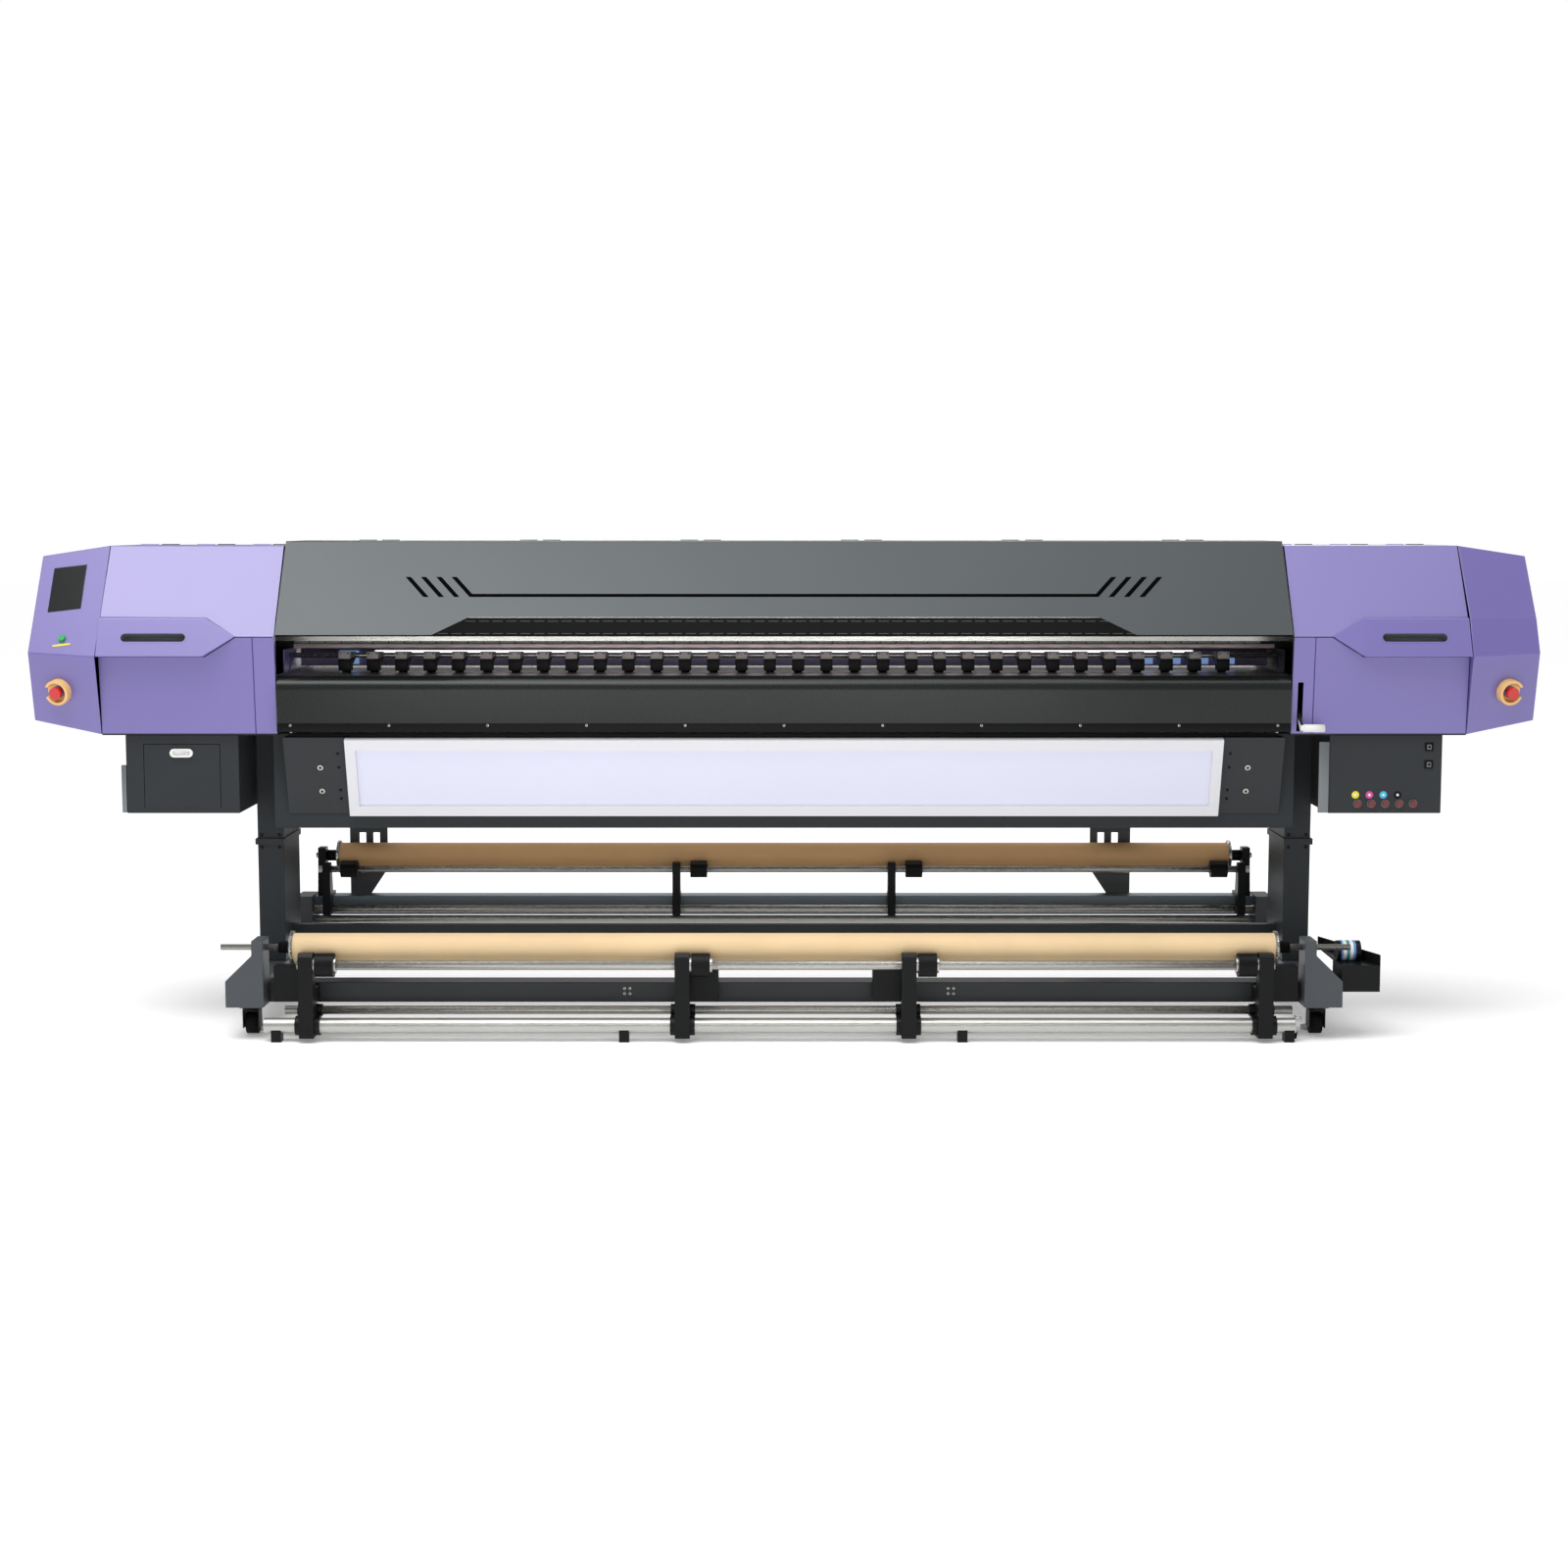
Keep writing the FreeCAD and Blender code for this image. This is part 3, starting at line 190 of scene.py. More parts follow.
wearsPaint = {
    "purplePaint": ["left_lid", "right_lid", "left_end_cap", "right_end_cap", "lower_panels"],
    "hoodPaint": ["hood"],
    "charcoalPaint": ["left_cabinet", "right_cabinet", "dryer_end_plates", "rear_covers",
                      "cross_beams", "cabinet_door"],
    "apronPaint": ["media_aprons"],
    "footPaint": ["stand_frames"],
    "beamPaint": ["main_beam", "side_frames"],
    "blackPaint": ["takeup_stands", "supply_stands", "takeup_drive"],
    "blackPlastic": ["takeup_chucks", "supply_chucks", "print_carriage", "capping_station",
                     "carriage_belt", "carriage_motor", "front_left_caster_fork",
                     "front_right_caster_fork", "rear_left_caster_fork",
                     "rear_right_caster_fork"],
    "rubber": ["front_left_caster_wheel", "front_right_caster_wheel", "rear_left_caster_wheel",
               "rear_right_caster_wheel", "pinch_wheels"],
    "steel": ["grit_roller", "levelling_feet", "motor_pulley", "idler_pulley", "print_heads"],
    "brushedAluminium": ["guide_bars", "takeup_support_shaft", "supply_support_shaft"],
    "warmAluminium": ["platen"],
    "castAluminium": ["carriage_beam"],
    "frameWhite": ["dryer_frame"],
    "panelWhite": ["dryer_panel"],
    "frontCard": ["takeup_core"],
    "rearCard": ["supply_core"],
    "glass": ["touch_screen"],
    "greenPlastic": ["start_button"],
    "redPlastic": ["left_stop_button", "right_stop_button"],
    "darkRedPlastic": ["ink_button_1", "ink_button_2", "ink_button_3", "ink_button_4",
                       "ink_button_5"],
    "creamPlastic": ["stop_button_guards"],
    "taupePlastic": ["pinch_arms"],
    "whitePlastic": ["lift_lever"],
}
for paintName, wearers in wearsPaint.items():
    for node in wearers:
        for place in nodes[node].material_slots:
            place.material = paints[paintName]
print("stage: finishes on", sum(len(w) for w in wearsPaint.values()), "nodes")


bodyOf = {node: body for body, members in frame["record"]["behaviour"]["bodies"].items()
          for node in members}


weld = 0.00002                                         # doubles nearer than this are merged
folding = {"shortest": 0.04, "reach": 5, "least": 0.2, "most": 2.4, "segments": 3,
           "flat": 0.006}


def placed(name, mesh, wears, body, smooth=32, flat=None):
    data = bpy.data.meshes.new(name)
    broad = []
    if flat:
        broad = [f.calc_area() > flat * max(e.calc_length() for e in f.edges)
                 for f in mesh.faces]
    mesh.to_mesh(data)
    mesh.free()
    for paint in wears:
        data.materials.append(paints[paint])
    data.shade_smooth()
    data.set_sharp_from_angle(angle=math.radians(smooth))
    if flat:                                           # broad sheet faces stay flat
        data.polygons.foreach_set("use_smooth", [not b for b in broad])
    piece = bpy.data.objects.new(name, data)
    bpy.context.collection.objects.link(piece)
    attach(piece, body)
    return piece


def shells(mesh):
    # the separate closed bodies of a mesh, each as a list of faces
    mesh.faces.ensure_lookup_table()
    seen = set()
    for first in mesh.faces:
        if first.index in seen:
            continue
        seen.add(first.index)
        shell = [first]
        for face in shell:
            for edge in face.edges:
                for other in edge.link_faces:
                    if other.index not in seen:
                        seen.add(other.index)
                        shell.append(other)
        yield shell


def remade(node, wears, choose=None, fold=0.0, cuts=()):
    # a merged copy of a node in several finishes, its long folds given a real radius
    mesh = bmesh.new()
    mesh.from_mesh(nodes[node].data)
    bmesh.ops.remove_doubles(mesh, verts=mesh.verts, dist=weld)
    for spot, normal in cuts:
        bmesh.ops.bisect_plane(mesh, geom=mesh.verts[:] + mesh.edges[:] + mesh.faces[:],
                               plane_co=spot, plane_no=normal)
    if fold:
        bmesh.ops.dissolve_limit(mesh, angle_limit=math.radians(0.5), verts=mesh.verts,
                                 edges=mesh.edges)
        folds = []
        for edge in mesh.edges:
            if len(edge.link_faces) != 2 or edge.calc_length() < folding["shortest"]:
                continue
            wide = min(f.calc_area() / max(e.calc_length() for e in f.edges)
                       for f in edge.link_faces)
            bend = edge.calc_face_angle()
            if wide > folding["reach"] * fold and folding["least"] < bend < folding["most"]:
                folds.append(edge)
        if folds:
            bmesh.ops.bevel(mesh, geom=folds, offset=fold, segments=folding["segments"],
                            affect="EDGES", profile=0.5, material=-1)
    if choose:
        mesh.faces.index_update()
        for shell in shells(mesh):
            points = [v.co for face in shell for v in face.verts]
            low = Vector(tuple(min(p[i] for p in points) for i in range(3)))
            high = Vector(tuple(max(p[i] for p in points) for i in range(3)))
            for face in shell:
                face.material_index = choose(face.calc_center_median(), low, high)
    piece = placed(node + "_made", mesh, wears, bodyOf[node],
                   flat=folding["flat"] if fold else None)
    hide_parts(node)


def addBlock(mesh, low, high, soften=0.0, paint=0):
    size = Vector(high) - Vector(low)
    middle = (Vector(high) + Vector(low)) / 2
    made = bmesh.ops.create_cube(
        mesh, size=1, matrix=Matrix.Translation(middle) @ Matrix.Diagonal((*size, 1)))["verts"]
    for face in {f for v in made for f in v.link_faces}:
        face.material_index = paint
    if soften:
        bmesh.ops.bevel(mesh, geom=list({e for v in made for e in v.link_edges}), offset=soften,
                        segments=2, affect="EDGES", profile=0.5, material=-1,
                        clamp_overlap=True)


def addRod(mesh, start, end, radius, sides=24, soften=0.0, paint=0, tip=None):
    start = Vector(start)
    end = Vector(end)
    along = end - start
    turn = along.to_track_quat("Z", "Y").to_matrix().to_4x4()
    made = bmesh.ops.create_cone(
        mesh, cap_ends=True, segments=sides, radius1=radius,
        radius2=radius if tip is None else tip, depth=along.length,
        matrix=Matrix.Translation((start + end) / 2) @ turn)["verts"]
    for face in {f for v in made for f in v.link_faces}:
        face.material_index = paint
    if soften:
        rims = [e for e in {e for v in made for e in v.link_edges}
                if e.calc_face_angle(0) > 1.0]
        bmesh.ops.bevel(mesh, geom=rims, offset=soften, segments=2, affect="EDGES",
                        profile=0.5, material=-1, clamp_overlap=True)


def addRing(mesh, centre, axis, inner, outer, height, sides=32, paint=0):
    # a flat-sided ring: a small rectangle spun about the axis
    turn = Vector(axis).to_track_quat("Z", "Y").to_matrix()
    corners = [mesh.verts.new(Vector(centre) + turn @ Vector((r, 0, h)))
               for r, h in ((inner, 0), (outer, 0), (outer, height), (inner, height))]
    loop = [mesh.edges.new((corners[i], corners[(i + 1) % 4])) for i in range(4)]
    bmesh.ops.spin(mesh, geom=corners + loop, cent=centre, axis=turn @ Vector((0, 0, 1)),
                   angle=2 * math.pi, steps=sides, use_merge=True)
    fresh = {f for v in corners for f in v.link_faces}
    grown = list(fresh)
    for face in grown:
        for edge in face.edges:
            for other in edge.link_faces:
                if other not in fresh:
                    fresh.add(other)
                    grown.append(other)
    bmesh.ops.recalc_face_normals(mesh, faces=grown)
    for face in grown:
        face.material_index = paint


def screwHeads(name, spots, out, radius, height, paint, body, sides=6):
    # round heads with a hexagon socket, all facing out
    mesh = bmesh.new()
    out = Vector(out).normalized()
    for spot in spots:
        spot = Vector(spot)
        addRod(mesh, spot - out * 0.001, spot + out * height, radius, sides=16,
               soften=radius * 0.15, paint=0)
        addRod(mesh, spot + out * height, spot + out * (height + 0.0003), radius * 0.5,
               sides=sides, paint=1)
    return placed(name, mesh, [paint, "blackPlastic"], body)


# nodes of more than one finish, and folded sheet metal with soft edges

def nearAxis(centre, y, z, reach):
    return math.hypot(centre.y - y, centre.z - z) < reach


sheetMetal = {
    "hood": ("hoodPaint", 0.003), "left_lid": ("purplePaint", 0.003),
    "right_lid": ("purplePaint", 0.003), "left_end_cap": ("purplePaint", 0.003),
    "right_end_cap": ("purplePaint", 0.003), "lower_panels": ("purplePaint", 0.003),
    "left_cabinet": ("charcoalPaint", 0.003), "right_cabinet": ("charcoalPaint", 0.003),
    "rear_covers": ("charcoalPaint", 0.003), "main_beam": ("beamPaint", 0.004),
    "dryer_end_plates": ("charcoalPaint", 0.002), "touch_screen": ("glass", 0.001),
}
for node, (paint, fold) in sheetMetal.items():
    remade(node, [paint], fold=fold)
remade("stand_frames", ["footPaint", "beamPaint"], fold=0.003,
       choose=lambda c, low, high: 1 if low.z > 0.19 else 0)
remade("cabinet_door", ["charcoalPaint", "whitePlastic"],
       choose=lambda c, low, high: 1 if high.x - low.x < 0.12 else 0)
remade("lift_lever", ["blackPaint", "whitePlastic"],
       choose=lambda c, low, high: 1 if c.z < 1.035 and c.y < -0.34 else 0)
for node in ("takeup_support_shaft", "supply_support_shaft"):
    remade(node, ["steel", "blackPlastic"],
           choose=lambda c, low, high: 0 if high.x - low.x > 1 else 1)
for node, axis in (("takeup_chucks", (-0.430, 0.300)), ("supply_chucks", (0.465, 0.483))):
    remade(node, ["blackPlastic", "steel"],
           choose=lambda c, low, high, axis=axis: 1 if nearAxis(c, *axis, 0.0108)
           or abs(c.x) < 1.6135 else 0)
remade("guide_bars", ["brushedAluminium", "steel"],
       choose=lambda c, low, high: 0 if high.z < 0.08 else 1)
remade("cross_beams", ["charcoalPaint", "extrusion", "footPaint"], fold=0.002,
       choose=lambda c, low, high: 2 if high.x - low.x < 1 else (1 if low.y > 0.3 else 0))
remade("carriage_beam", ["blackPaint", "steel"],
       choose=lambda c, low, high: 1 if high.z - low.z < 0.03 else 0)
remade("side_frames", ["purplePaint", "beamPaint"],
       choose=lambda c, low, high: 0 if high.x - low.x < 0.03 else 1)
remade("pinch_arms", ["taupePlastic", "blackPlastic", "steel"],
       cuts=[((0, 0, 1.2295), (0, 0, 1))],
       choose=lambda c, low, high: 2 if nearAxis(c, -0.075, 1.235, 0.0094)
       else (0 if c.z > 1.2295 else 1))
for corner in ("front_left", "front_right", "rear_left", "rear_right"):
    low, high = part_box(corner + "_caster_wheel")
    hub = (low + high) / 2
    remade(corner + "_caster_wheel", ["rubber", "greyPlastic"],
           choose=lambda c, low, high, hub=hub: 1 if nearAxis(c, hub.y, hub.z, 0.022) else 0)
print("stage: nodes remade with folds and second finishes")


# covers: grip recesses, screen bezel, buttons

def slotFace(mesh, centre, across, up, half, radius, sides=16):
    # an oblong with round ends, as one face
    ring = bmesh.ops.create_circle(mesh, cap_ends=False, segments=sides * 2, radius=radius)
    right = [v for v in ring["verts"] if v.co.x > 1e-6]
    left = [v for v in ring["verts"] if v.co.x < -1e-6]
    bmesh.ops.translate(mesh, verts=right, vec=(half - radius, 0, 0))
    bmesh.ops.translate(mesh, verts=left, vec=(radius - half, 0, 0))
    face = mesh.faces.new(ring["verts"])
    out = Vector(across).cross(Vector(up))
    turn = Matrix((across, up, out)).transposed().to_4x4()
    bmesh.ops.transform(mesh, matrix=Matrix.Translation(centre) @ turn, verts=ring["verts"])
    bmesh.ops.recalc_face_normals(mesh, faces=[face])
    if face.normal.dot(out) < 0:
        bmesh.ops.reverse_faces(mesh, faces=[face])
    return face, out


grip = {"x": 2.055, "y": -0.3552, "z": 1.307, "half": 0.106, "radius": 0.0155, "rim": 0.0045,
        "deep": 0.035, "slope": (0, 0.4385, 0.8988), "lidOut": (0, -0.8988, 0.4385),
        "sunk": 0.0032, "play": 0.002, "wall": 0.0012, "rimProud": 0.0008,
        "rimOver": 0.0006, "rimThick": 0.0015}
for side, name in ((-1, "left"), (1, "right")):
    centre = Vector((side * grip["x"], grip["y"], grip["z"]))
    cup = bmesh.new()
    mouth = centre - Vector(grip["lidOut"]) * grip["sunk"]
    face, out = slotFace(cup, mouth, (1, 0, 0), grip["slope"], grip["half"] + grip["play"],
                         grip["radius"] + grip["play"])
    walls = bmesh.ops.extrude_face_region(cup, geom=[face])["geom"]
    moved = [g for g in walls if isinstance(g, bmesh.types.BMVert)]
    bmesh.ops.translate(cup, verts=moved, vec=-out * grip["deep"])
    if face.is_valid:
        bmesh.ops.delete(cup, geom=[face], context="FACES_ONLY")
    bmesh.ops.recalc_face_normals(cup, faces=cup.faces)
    bmesh.ops.solidify(cup, geom=cup.faces[:], thickness=grip["wall"])
    placed(name + "GripCup", cup, ["greyPlastic"], name + "_lid")
    rim = bmesh.new()
    face, out = slotFace(rim, centre + out * grip["rimProud"], (1, 0, 0), grip["slope"],
                         grip["half"] + grip["rim"], grip["radius"] + grip["rim"])
    bmesh.ops.inset_region(rim, faces=[face], thickness=grip["rim"] + grip["rimOver"],
                           use_boundary=True, use_even_offset=True)
    bmesh.ops.delete(rim, geom=[face], context="FACES")
    bmesh.ops.solidify(rim, geom=rim.faces[:], thickness=grip["rimThick"])
    placed(name + "GripRim", rim, ["purplePaint"], name + "_lid")

screen = {"grow": 1.06, "bezel": 0.004, "proud": 0.0015, "sunk": 0.001, "level": 0.998}
pane = bmesh.new()
pane.from_mesh(nodes["touch_screen"].data)
bmesh.ops.remove_doubles(pane, verts=pane.verts, dist=weld)
bmesh.ops.dissolve_limit(pane, angle_limit=math.radians(0.5), verts=pane.verts,
                         edges=pane.edges)
glassFace = max((f for f in pane.faces if f.normal.y < -0.5), key=lambda f: f.calc_area())
screenOut = glassFace.normal.copy()
corners = [v.co.copy() for v in glassFace.verts]
runs = [loop.link_loop_next.vert.co - loop.vert.co for loop in glassFace.loops]
across = max(runs, key=lambda run: run.normalized().x).normalized()
pane.free()
bezel = bmesh.new()
middle = sum(corners, Vector()) / len(corners)
plate = bezel.faces.new([bezel.verts.new(middle + (c - middle) * screen["grow"])
                         for c in corners])
capFaces = [f for f in nodes["left_end_cap"].data.polygons
            if f.normal.dot(screenOut) > screen["level"]]
facet = max(capFaces, key=lambda f: f.center.dot(screenOut))


def ontoFacet(spot):
    # the nearest place on the cap's facet that holds the screen
    return spot - screenOut * (spot - facet.center).dot(screenOut)


bmesh.ops.inset_region(bezel, faces=[plate], thickness=screen["bezel"], depth=0.0,
                       use_boundary=True, use_even_offset=True)
bmesh.ops.delete(bezel, geom=[plate], context="FACES")
for corner in bezel.verts:
    corner.co = ontoFacet(corner.co) + screenOut * screen["proud"]
bmesh.ops.solidify(bezel, geom=bezel.faces[:], thickness=screen["proud"] + screen["sunk"])
placed("screenBezel", bezel, ["bezelPlastic"], "machine")

low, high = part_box("start_button")
start = ontoFacet((low + high) / 2)
startTrim = {"sunk": 0.001, "inner": 0.0075, "outer": 0.0135, "height": 0.004,
             "drop": 0.024, "proud": 0.0012, "half": 0.032, "radius": 0.004, "thick": 0.0008}
collar = bmesh.new()
addRing(collar, start - screenOut * startTrim["sunk"], screenOut, startTrim["inner"],
        startTrim["outer"], startTrim["height"])
placed("startCollar", collar, ["greenPlastic"], "machine")
tag = bmesh.new()
upward = screenOut.cross(across).normalized()
slotFace(tag, start - upward * startTrim["drop"] + screenOut * startTrim["proud"], across,
         upward, startTrim["half"], startTrim["radius"], sides=4)
bmesh.ops.solidify(tag, geom=tag.faces[:], thickness=startTrim["thick"])
placed("startTag", tag, ["yellowPlastic"], "machine")
print("stage: grips, screen and buttons")


# hood: near-black sheets laid just proud of the slots as painted shade of their openings, and
# dark strips for the panel seams

hoodSlope = {"low": (-0.364, 1.316), "high": (-0.142, 1.618)}
rise = Vector((0, hoodSlope["high"][0] - hoodSlope["low"][0],
               hoodSlope["high"][1] - hoodSlope["low"][1]))
rise.normalize()
hoodOut = Vector((1, 0, 0)).cross(rise)
if hoodOut.y > 0:
    hoodOut.negate()


def onHood(x, z, proud=0.0):
    lift = (z - hoodSlope["low"][1]) / rise.z
    return Vector((x, hoodSlope["low"][0], hoodSlope["low"][1])) + rise * lift + hoodOut * proud


slots = {"first": 1.239, "pitch": 0.0505, "top": 1.501, "low": 1.437, "lean": 0.064,
         "half": 0.0088, "proud": 0.0006, "thick": 0.0008, "longHalf": 1.026,
         "longTop": 1.4465, "longLow": 1.4370}
# the slot sheets are painted shade: the dark of the openings, not a trim
slotShadeSheet = bmesh.new()
quads = []
for side in (-1, 1):
    for step in range(4):
        x = slots["first"] - slots["pitch"] * step
        quads.append([(side * (x - slots["half"]), slots["top"]),
                      (side * (x + slots["half"]), slots["top"]),
                      (side * (x + slots["half"] - slots["lean"]), slots["low"]),
                      (side * (x - slots["half"] - slots["lean"]), slots["low"])])
quads.append([(-slots["longHalf"], slots["longTop"]), (slots["longHalf"], slots["longTop"]),
              (slots["longHalf"], slots["longLow"]), (-slots["longHalf"], slots["longLow"])])
for quad in quads:
    face = slotShadeSheet.faces.new([slotShadeSheet.verts.new(onHood(x, z, slots["proud"])) for x, z in quad])
    face.normal_update()
    if face.normal.dot(hoodOut) < 0:
        bmesh.ops.reverse_faces(slotShadeSheet, faces=[face])
bmesh.ops.solidify(slotShadeSheet, geom=slotShadeSheet.faces[:], thickness=slots["thick"])
placed("hoodSlotShade", slotShadeSheet, ["slotShadeBlack"], "hood")

seam = {"inner": 1.7315, "outer": 1.7345, "low": 0.990, "top": 1.3055, "panelY": -0.320,
        "panelZ": 0.988, "panelTopY": -0.352, "panelRise": 0.322, "proud": 0.0005,
        "thick": 0.0006}
seams = bmesh.new()
for side in (-1, 1):
    spots = []
    for x, z in ((seam["inner"], seam["low"]), (seam["outer"], seam["low"]),
                 (seam["outer"], seam["top"]), (seam["inner"], seam["top"])):
        lean = (seam["panelTopY"] - seam["panelY"]) * (z - seam["panelZ"]) / seam["panelRise"]
        spots.append((side * x, seam["panelY"] + lean - seam["proud"], z))
    face = seams.faces.new([seams.verts.new(c) for c in spots])
    face.normal_update()
    if face.normal.y > 0:
        bmesh.ops.reverse_faces(seams, faces=[face])
bmesh.ops.solidify(seams, geom=seams.faces[:], thickness=seam["thick"])
placed("panelSeams", seams, ["deepPurple"], "machine")
print("stage: hood and panel trim")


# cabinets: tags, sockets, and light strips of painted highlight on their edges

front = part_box("right_cabinet")[0].y
tags = {"x": (1.885, 1.931, 1.977, 2.024), "z": 0.786, "radius": 0.0125, "sunk": 0.0005,
        "proud": 0.0015, "dotProud": 0.0019, "dot": 0.35, "soften": 0.0006,
        "paints": ("yellowPlastic", "magentaPlastic", "cyanPlastic", "blackPlastic")}
for number, (x, paint) in enumerate(zip(tags["x"], tags["paints"]), 1):
    disc = bmesh.new()
    addRod(disc, (x, front + tags["sunk"], tags["z"]), (x, front - tags["proud"], tags["z"]),
           tags["radius"], soften=tags["soften"])
    addRod(disc, (x, front - tags["proud"], tags["z"]),
           (x, front - tags["dotProud"], tags["z"]), tags["radius"] * tags["dot"], sides=16,
           paint=1)
    placed("inkTag" + str(number), disc, [paint, "whitePlastic"], "machine")
inkRow = {"first": 1.892, "pitch": 0.046, "count": 5, "z": 0.757, "sunk": 0.0005,
          "play": 0.0005, "wall": 0.0028, "height": 0.003}
inkRings = bmesh.new()
capLow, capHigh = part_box("ink_button_1")
capRadius = (capHigh.z - capLow.z) / 2
for step in range(inkRow["count"]):
    centre = (inkRow["first"] + inkRow["pitch"] * step, front + inkRow["sunk"], inkRow["z"])
    addRing(inkRings, centre, (0, -1, 0), capRadius + inkRow["play"],
            capRadius + inkRow["wall"], inkRow["height"])
placed("inkCollars", inkRings, ["greyPlastic"], "machine")

socket = {"z": (0.945, 0.887),
          "plate": {"x": (2.110, 2.138), "y": (-0.004, 0.0005), "half": 0.014,
                    "soften": 0.0015, "paint": 0},
          "insert": {"x": (2.117, 2.131), "y": (-0.0052, -0.0035), "half": 0.008,
                     "soften": 0.0008, "paint": 1},
          "pin": {"x": 2.124, "y": (-0.005, -0.0062), "radius": 0.0045}}
sockets = bmesh.new()
for z in socket["z"]:
    for part in (socket["plate"], socket["insert"]):
        addBlock(sockets, (part["x"][0], front + part["y"][0], z - part["half"]),
                 (part["x"][1], front + part["y"][1], z + part["half"]),
                 soften=part["soften"], paint=part["paint"])
    pin = socket["pin"]
    addRod(sockets, (pin["x"], front + pin["y"][0], z), (pin["x"], front + pin["y"][1], z),
           pin["radius"])
placed("sockets", sockets, ["blackPlastic", "greyPlastic"], "machine")

# light grey strips of painted highlight, standing for cabinet side faces that catch the light
edgeHighlights = {"soften": 0.0012,
              "right": ((1.762, -0.004, 0.727), (1.7955, 0.004, 0.962)),
              "left": ((-2.184, -0.001, 0.727), (-2.1685, 0.014, 0.884))}
strips = bmesh.new()
for side in ("right", "left"):
    low, high = edgeHighlights[side]
    addBlock(strips, (low[0], front + low[1], low[2]), (high[0], front + high[1], high[2]),
             soften=edgeHighlights["soften"])
placed("cabinetHighlightStrips", strips, ["castAluminium"], "machine")
print("stage: cabinet details")


# window: bright strips on the carriage beam, the cable chain, the pinch screws

window = {"half": 1.655, "face": -0.0555, "bright": ((1.284, 1.298), (1.258, 1.272)),
          "brightProud": 0.0045, "brightSoften": 0.001, "dark": (1.2735, 1.2825),
          "darkProud": 0.003, "darkSoften": 0.0008, "pitch": 0.0535, "gap": 0.0015}
strip = bmesh.new()
for low, high in window["bright"]:
    addBlock(strip, (-window["half"], window["face"] - window["brightProud"], low),
             (window["half"], window["face"], high), soften=window["brightSoften"])
placed("windowStrips", strip, ["pinkAluminium"], "machine")
segments = bmesh.new()
for step in range(int(2 * window["half"] / window["pitch"])):
    left = -window["half"] + step * window["pitch"]
    addBlock(segments, (left + window["gap"], window["face"] - window["darkProud"],
                        window["dark"][0]),
             (left + window["pitch"] - window["gap"], window["face"], window["dark"][1]),
             soften=window["darkSoften"])
placed("windowSegments", segments, ["greyPlastic"], "machine")

chain = {"pitch": 0.030, "half": 1.62, "low": 1.398, "high": 1.448, "front": 0.004,
         "back": 0.056, "gap": 0.002, "soften": 0.002, "bridge": 0.003, "inset": 0.004,
         "waist": 0.012, "pin": 0.025, "pinRadius": 0.006, "pinProud": 0.0015}
links = bmesh.new()
for step in range(int(2 * chain["half"] / chain["pitch"])):
    left = -chain["half"] + step * chain["pitch"]
    addBlock(links, (left + chain["gap"], chain["front"], chain["low"]),
             (left + chain["pitch"] - chain["gap"], chain["back"], chain["high"]),
             soften=chain["soften"])
    addBlock(links, (left - chain["bridge"], chain["front"] + chain["inset"],
                     chain["low"] + chain["waist"]),
             (left + chain["bridge"], chain["back"] - chain["inset"],
              chain["high"] - chain["waist"]), paint=1)
    middle = left + chain["pitch"] / 2
    height = chain["low"] + chain["pin"]
    addRod(links, (middle, chain["front"], height),
           (middle, chain["front"] - chain["pinProud"], height), chain["pinRadius"],
           sides=12, paint=1)
placed("cableChain", links, ["blackPlastic", "blackPaint"], "machine")

pinch = {"half": 0.0195, "front": -0.1745, "back": -0.1575, "top": 1.2525, "split": 1.2275,
         "low": 1.188, "soften": 0.002, "grow": 0.001, "deeper": 0.004, "gap": 0.0006,
         "lowSoften": 0.003, "screwX": 0.013, "screwZ": 1.2455, "screw": 0.0026,
         "screwSunk": 0.001, "screwProud": 0.0012, "apart": 0.06, "level": 0.0005}


def pinchPlaces(crest):
    # the middle of each pinch arm along the shaft, read from the arms' own shells
    mesh = bmesh.new()
    mesh.from_mesh(nodes["pinch_arms"].data)
    bmesh.ops.remove_doubles(mesh, verts=mesh.verts, dist=weld)
    tops = sorted(v.co.x for v in mesh.verts if v.co.z > crest - pinch["level"])
    mesh.free()
    places = []
    for x in tops:
        if places and x - places[-1][0] < pinch["apart"]:
            places[-1].append(x)
        else:
            places.append([x])
    return [(min(group) + max(group)) / 2 for group in places]


caps = bmesh.new()
for x in pinchPlaces(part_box("pinch_arms")[1].z):
    addBlock(caps, (x - pinch["half"], pinch["front"], pinch["split"]),
             (x + pinch["half"], pinch["back"], pinch["top"]), soften=pinch["soften"])
    addBlock(caps, (x - pinch["half"] - pinch["grow"], pinch["front"] - pinch["grow"],
                    pinch["low"]),
             (x + pinch["half"] + pinch["grow"], pinch["back"] + pinch["deeper"],
              pinch["split"] - pinch["gap"]), soften=pinch["lowSoften"], paint=1)
    for shift in (-pinch["screwX"], pinch["screwX"]):
        addRod(caps, (x + shift, pinch["front"] + pinch["screwSunk"], pinch["screwZ"]),
               (x + shift, pinch["front"] - pinch["screwProud"], pinch["screwZ"]),
               pinch["screw"], sides=10, paint=2)
placed("pinchCaps", caps, ["taupePlastic", "blackPlastic", "blackPaint"], "pinch_arms")

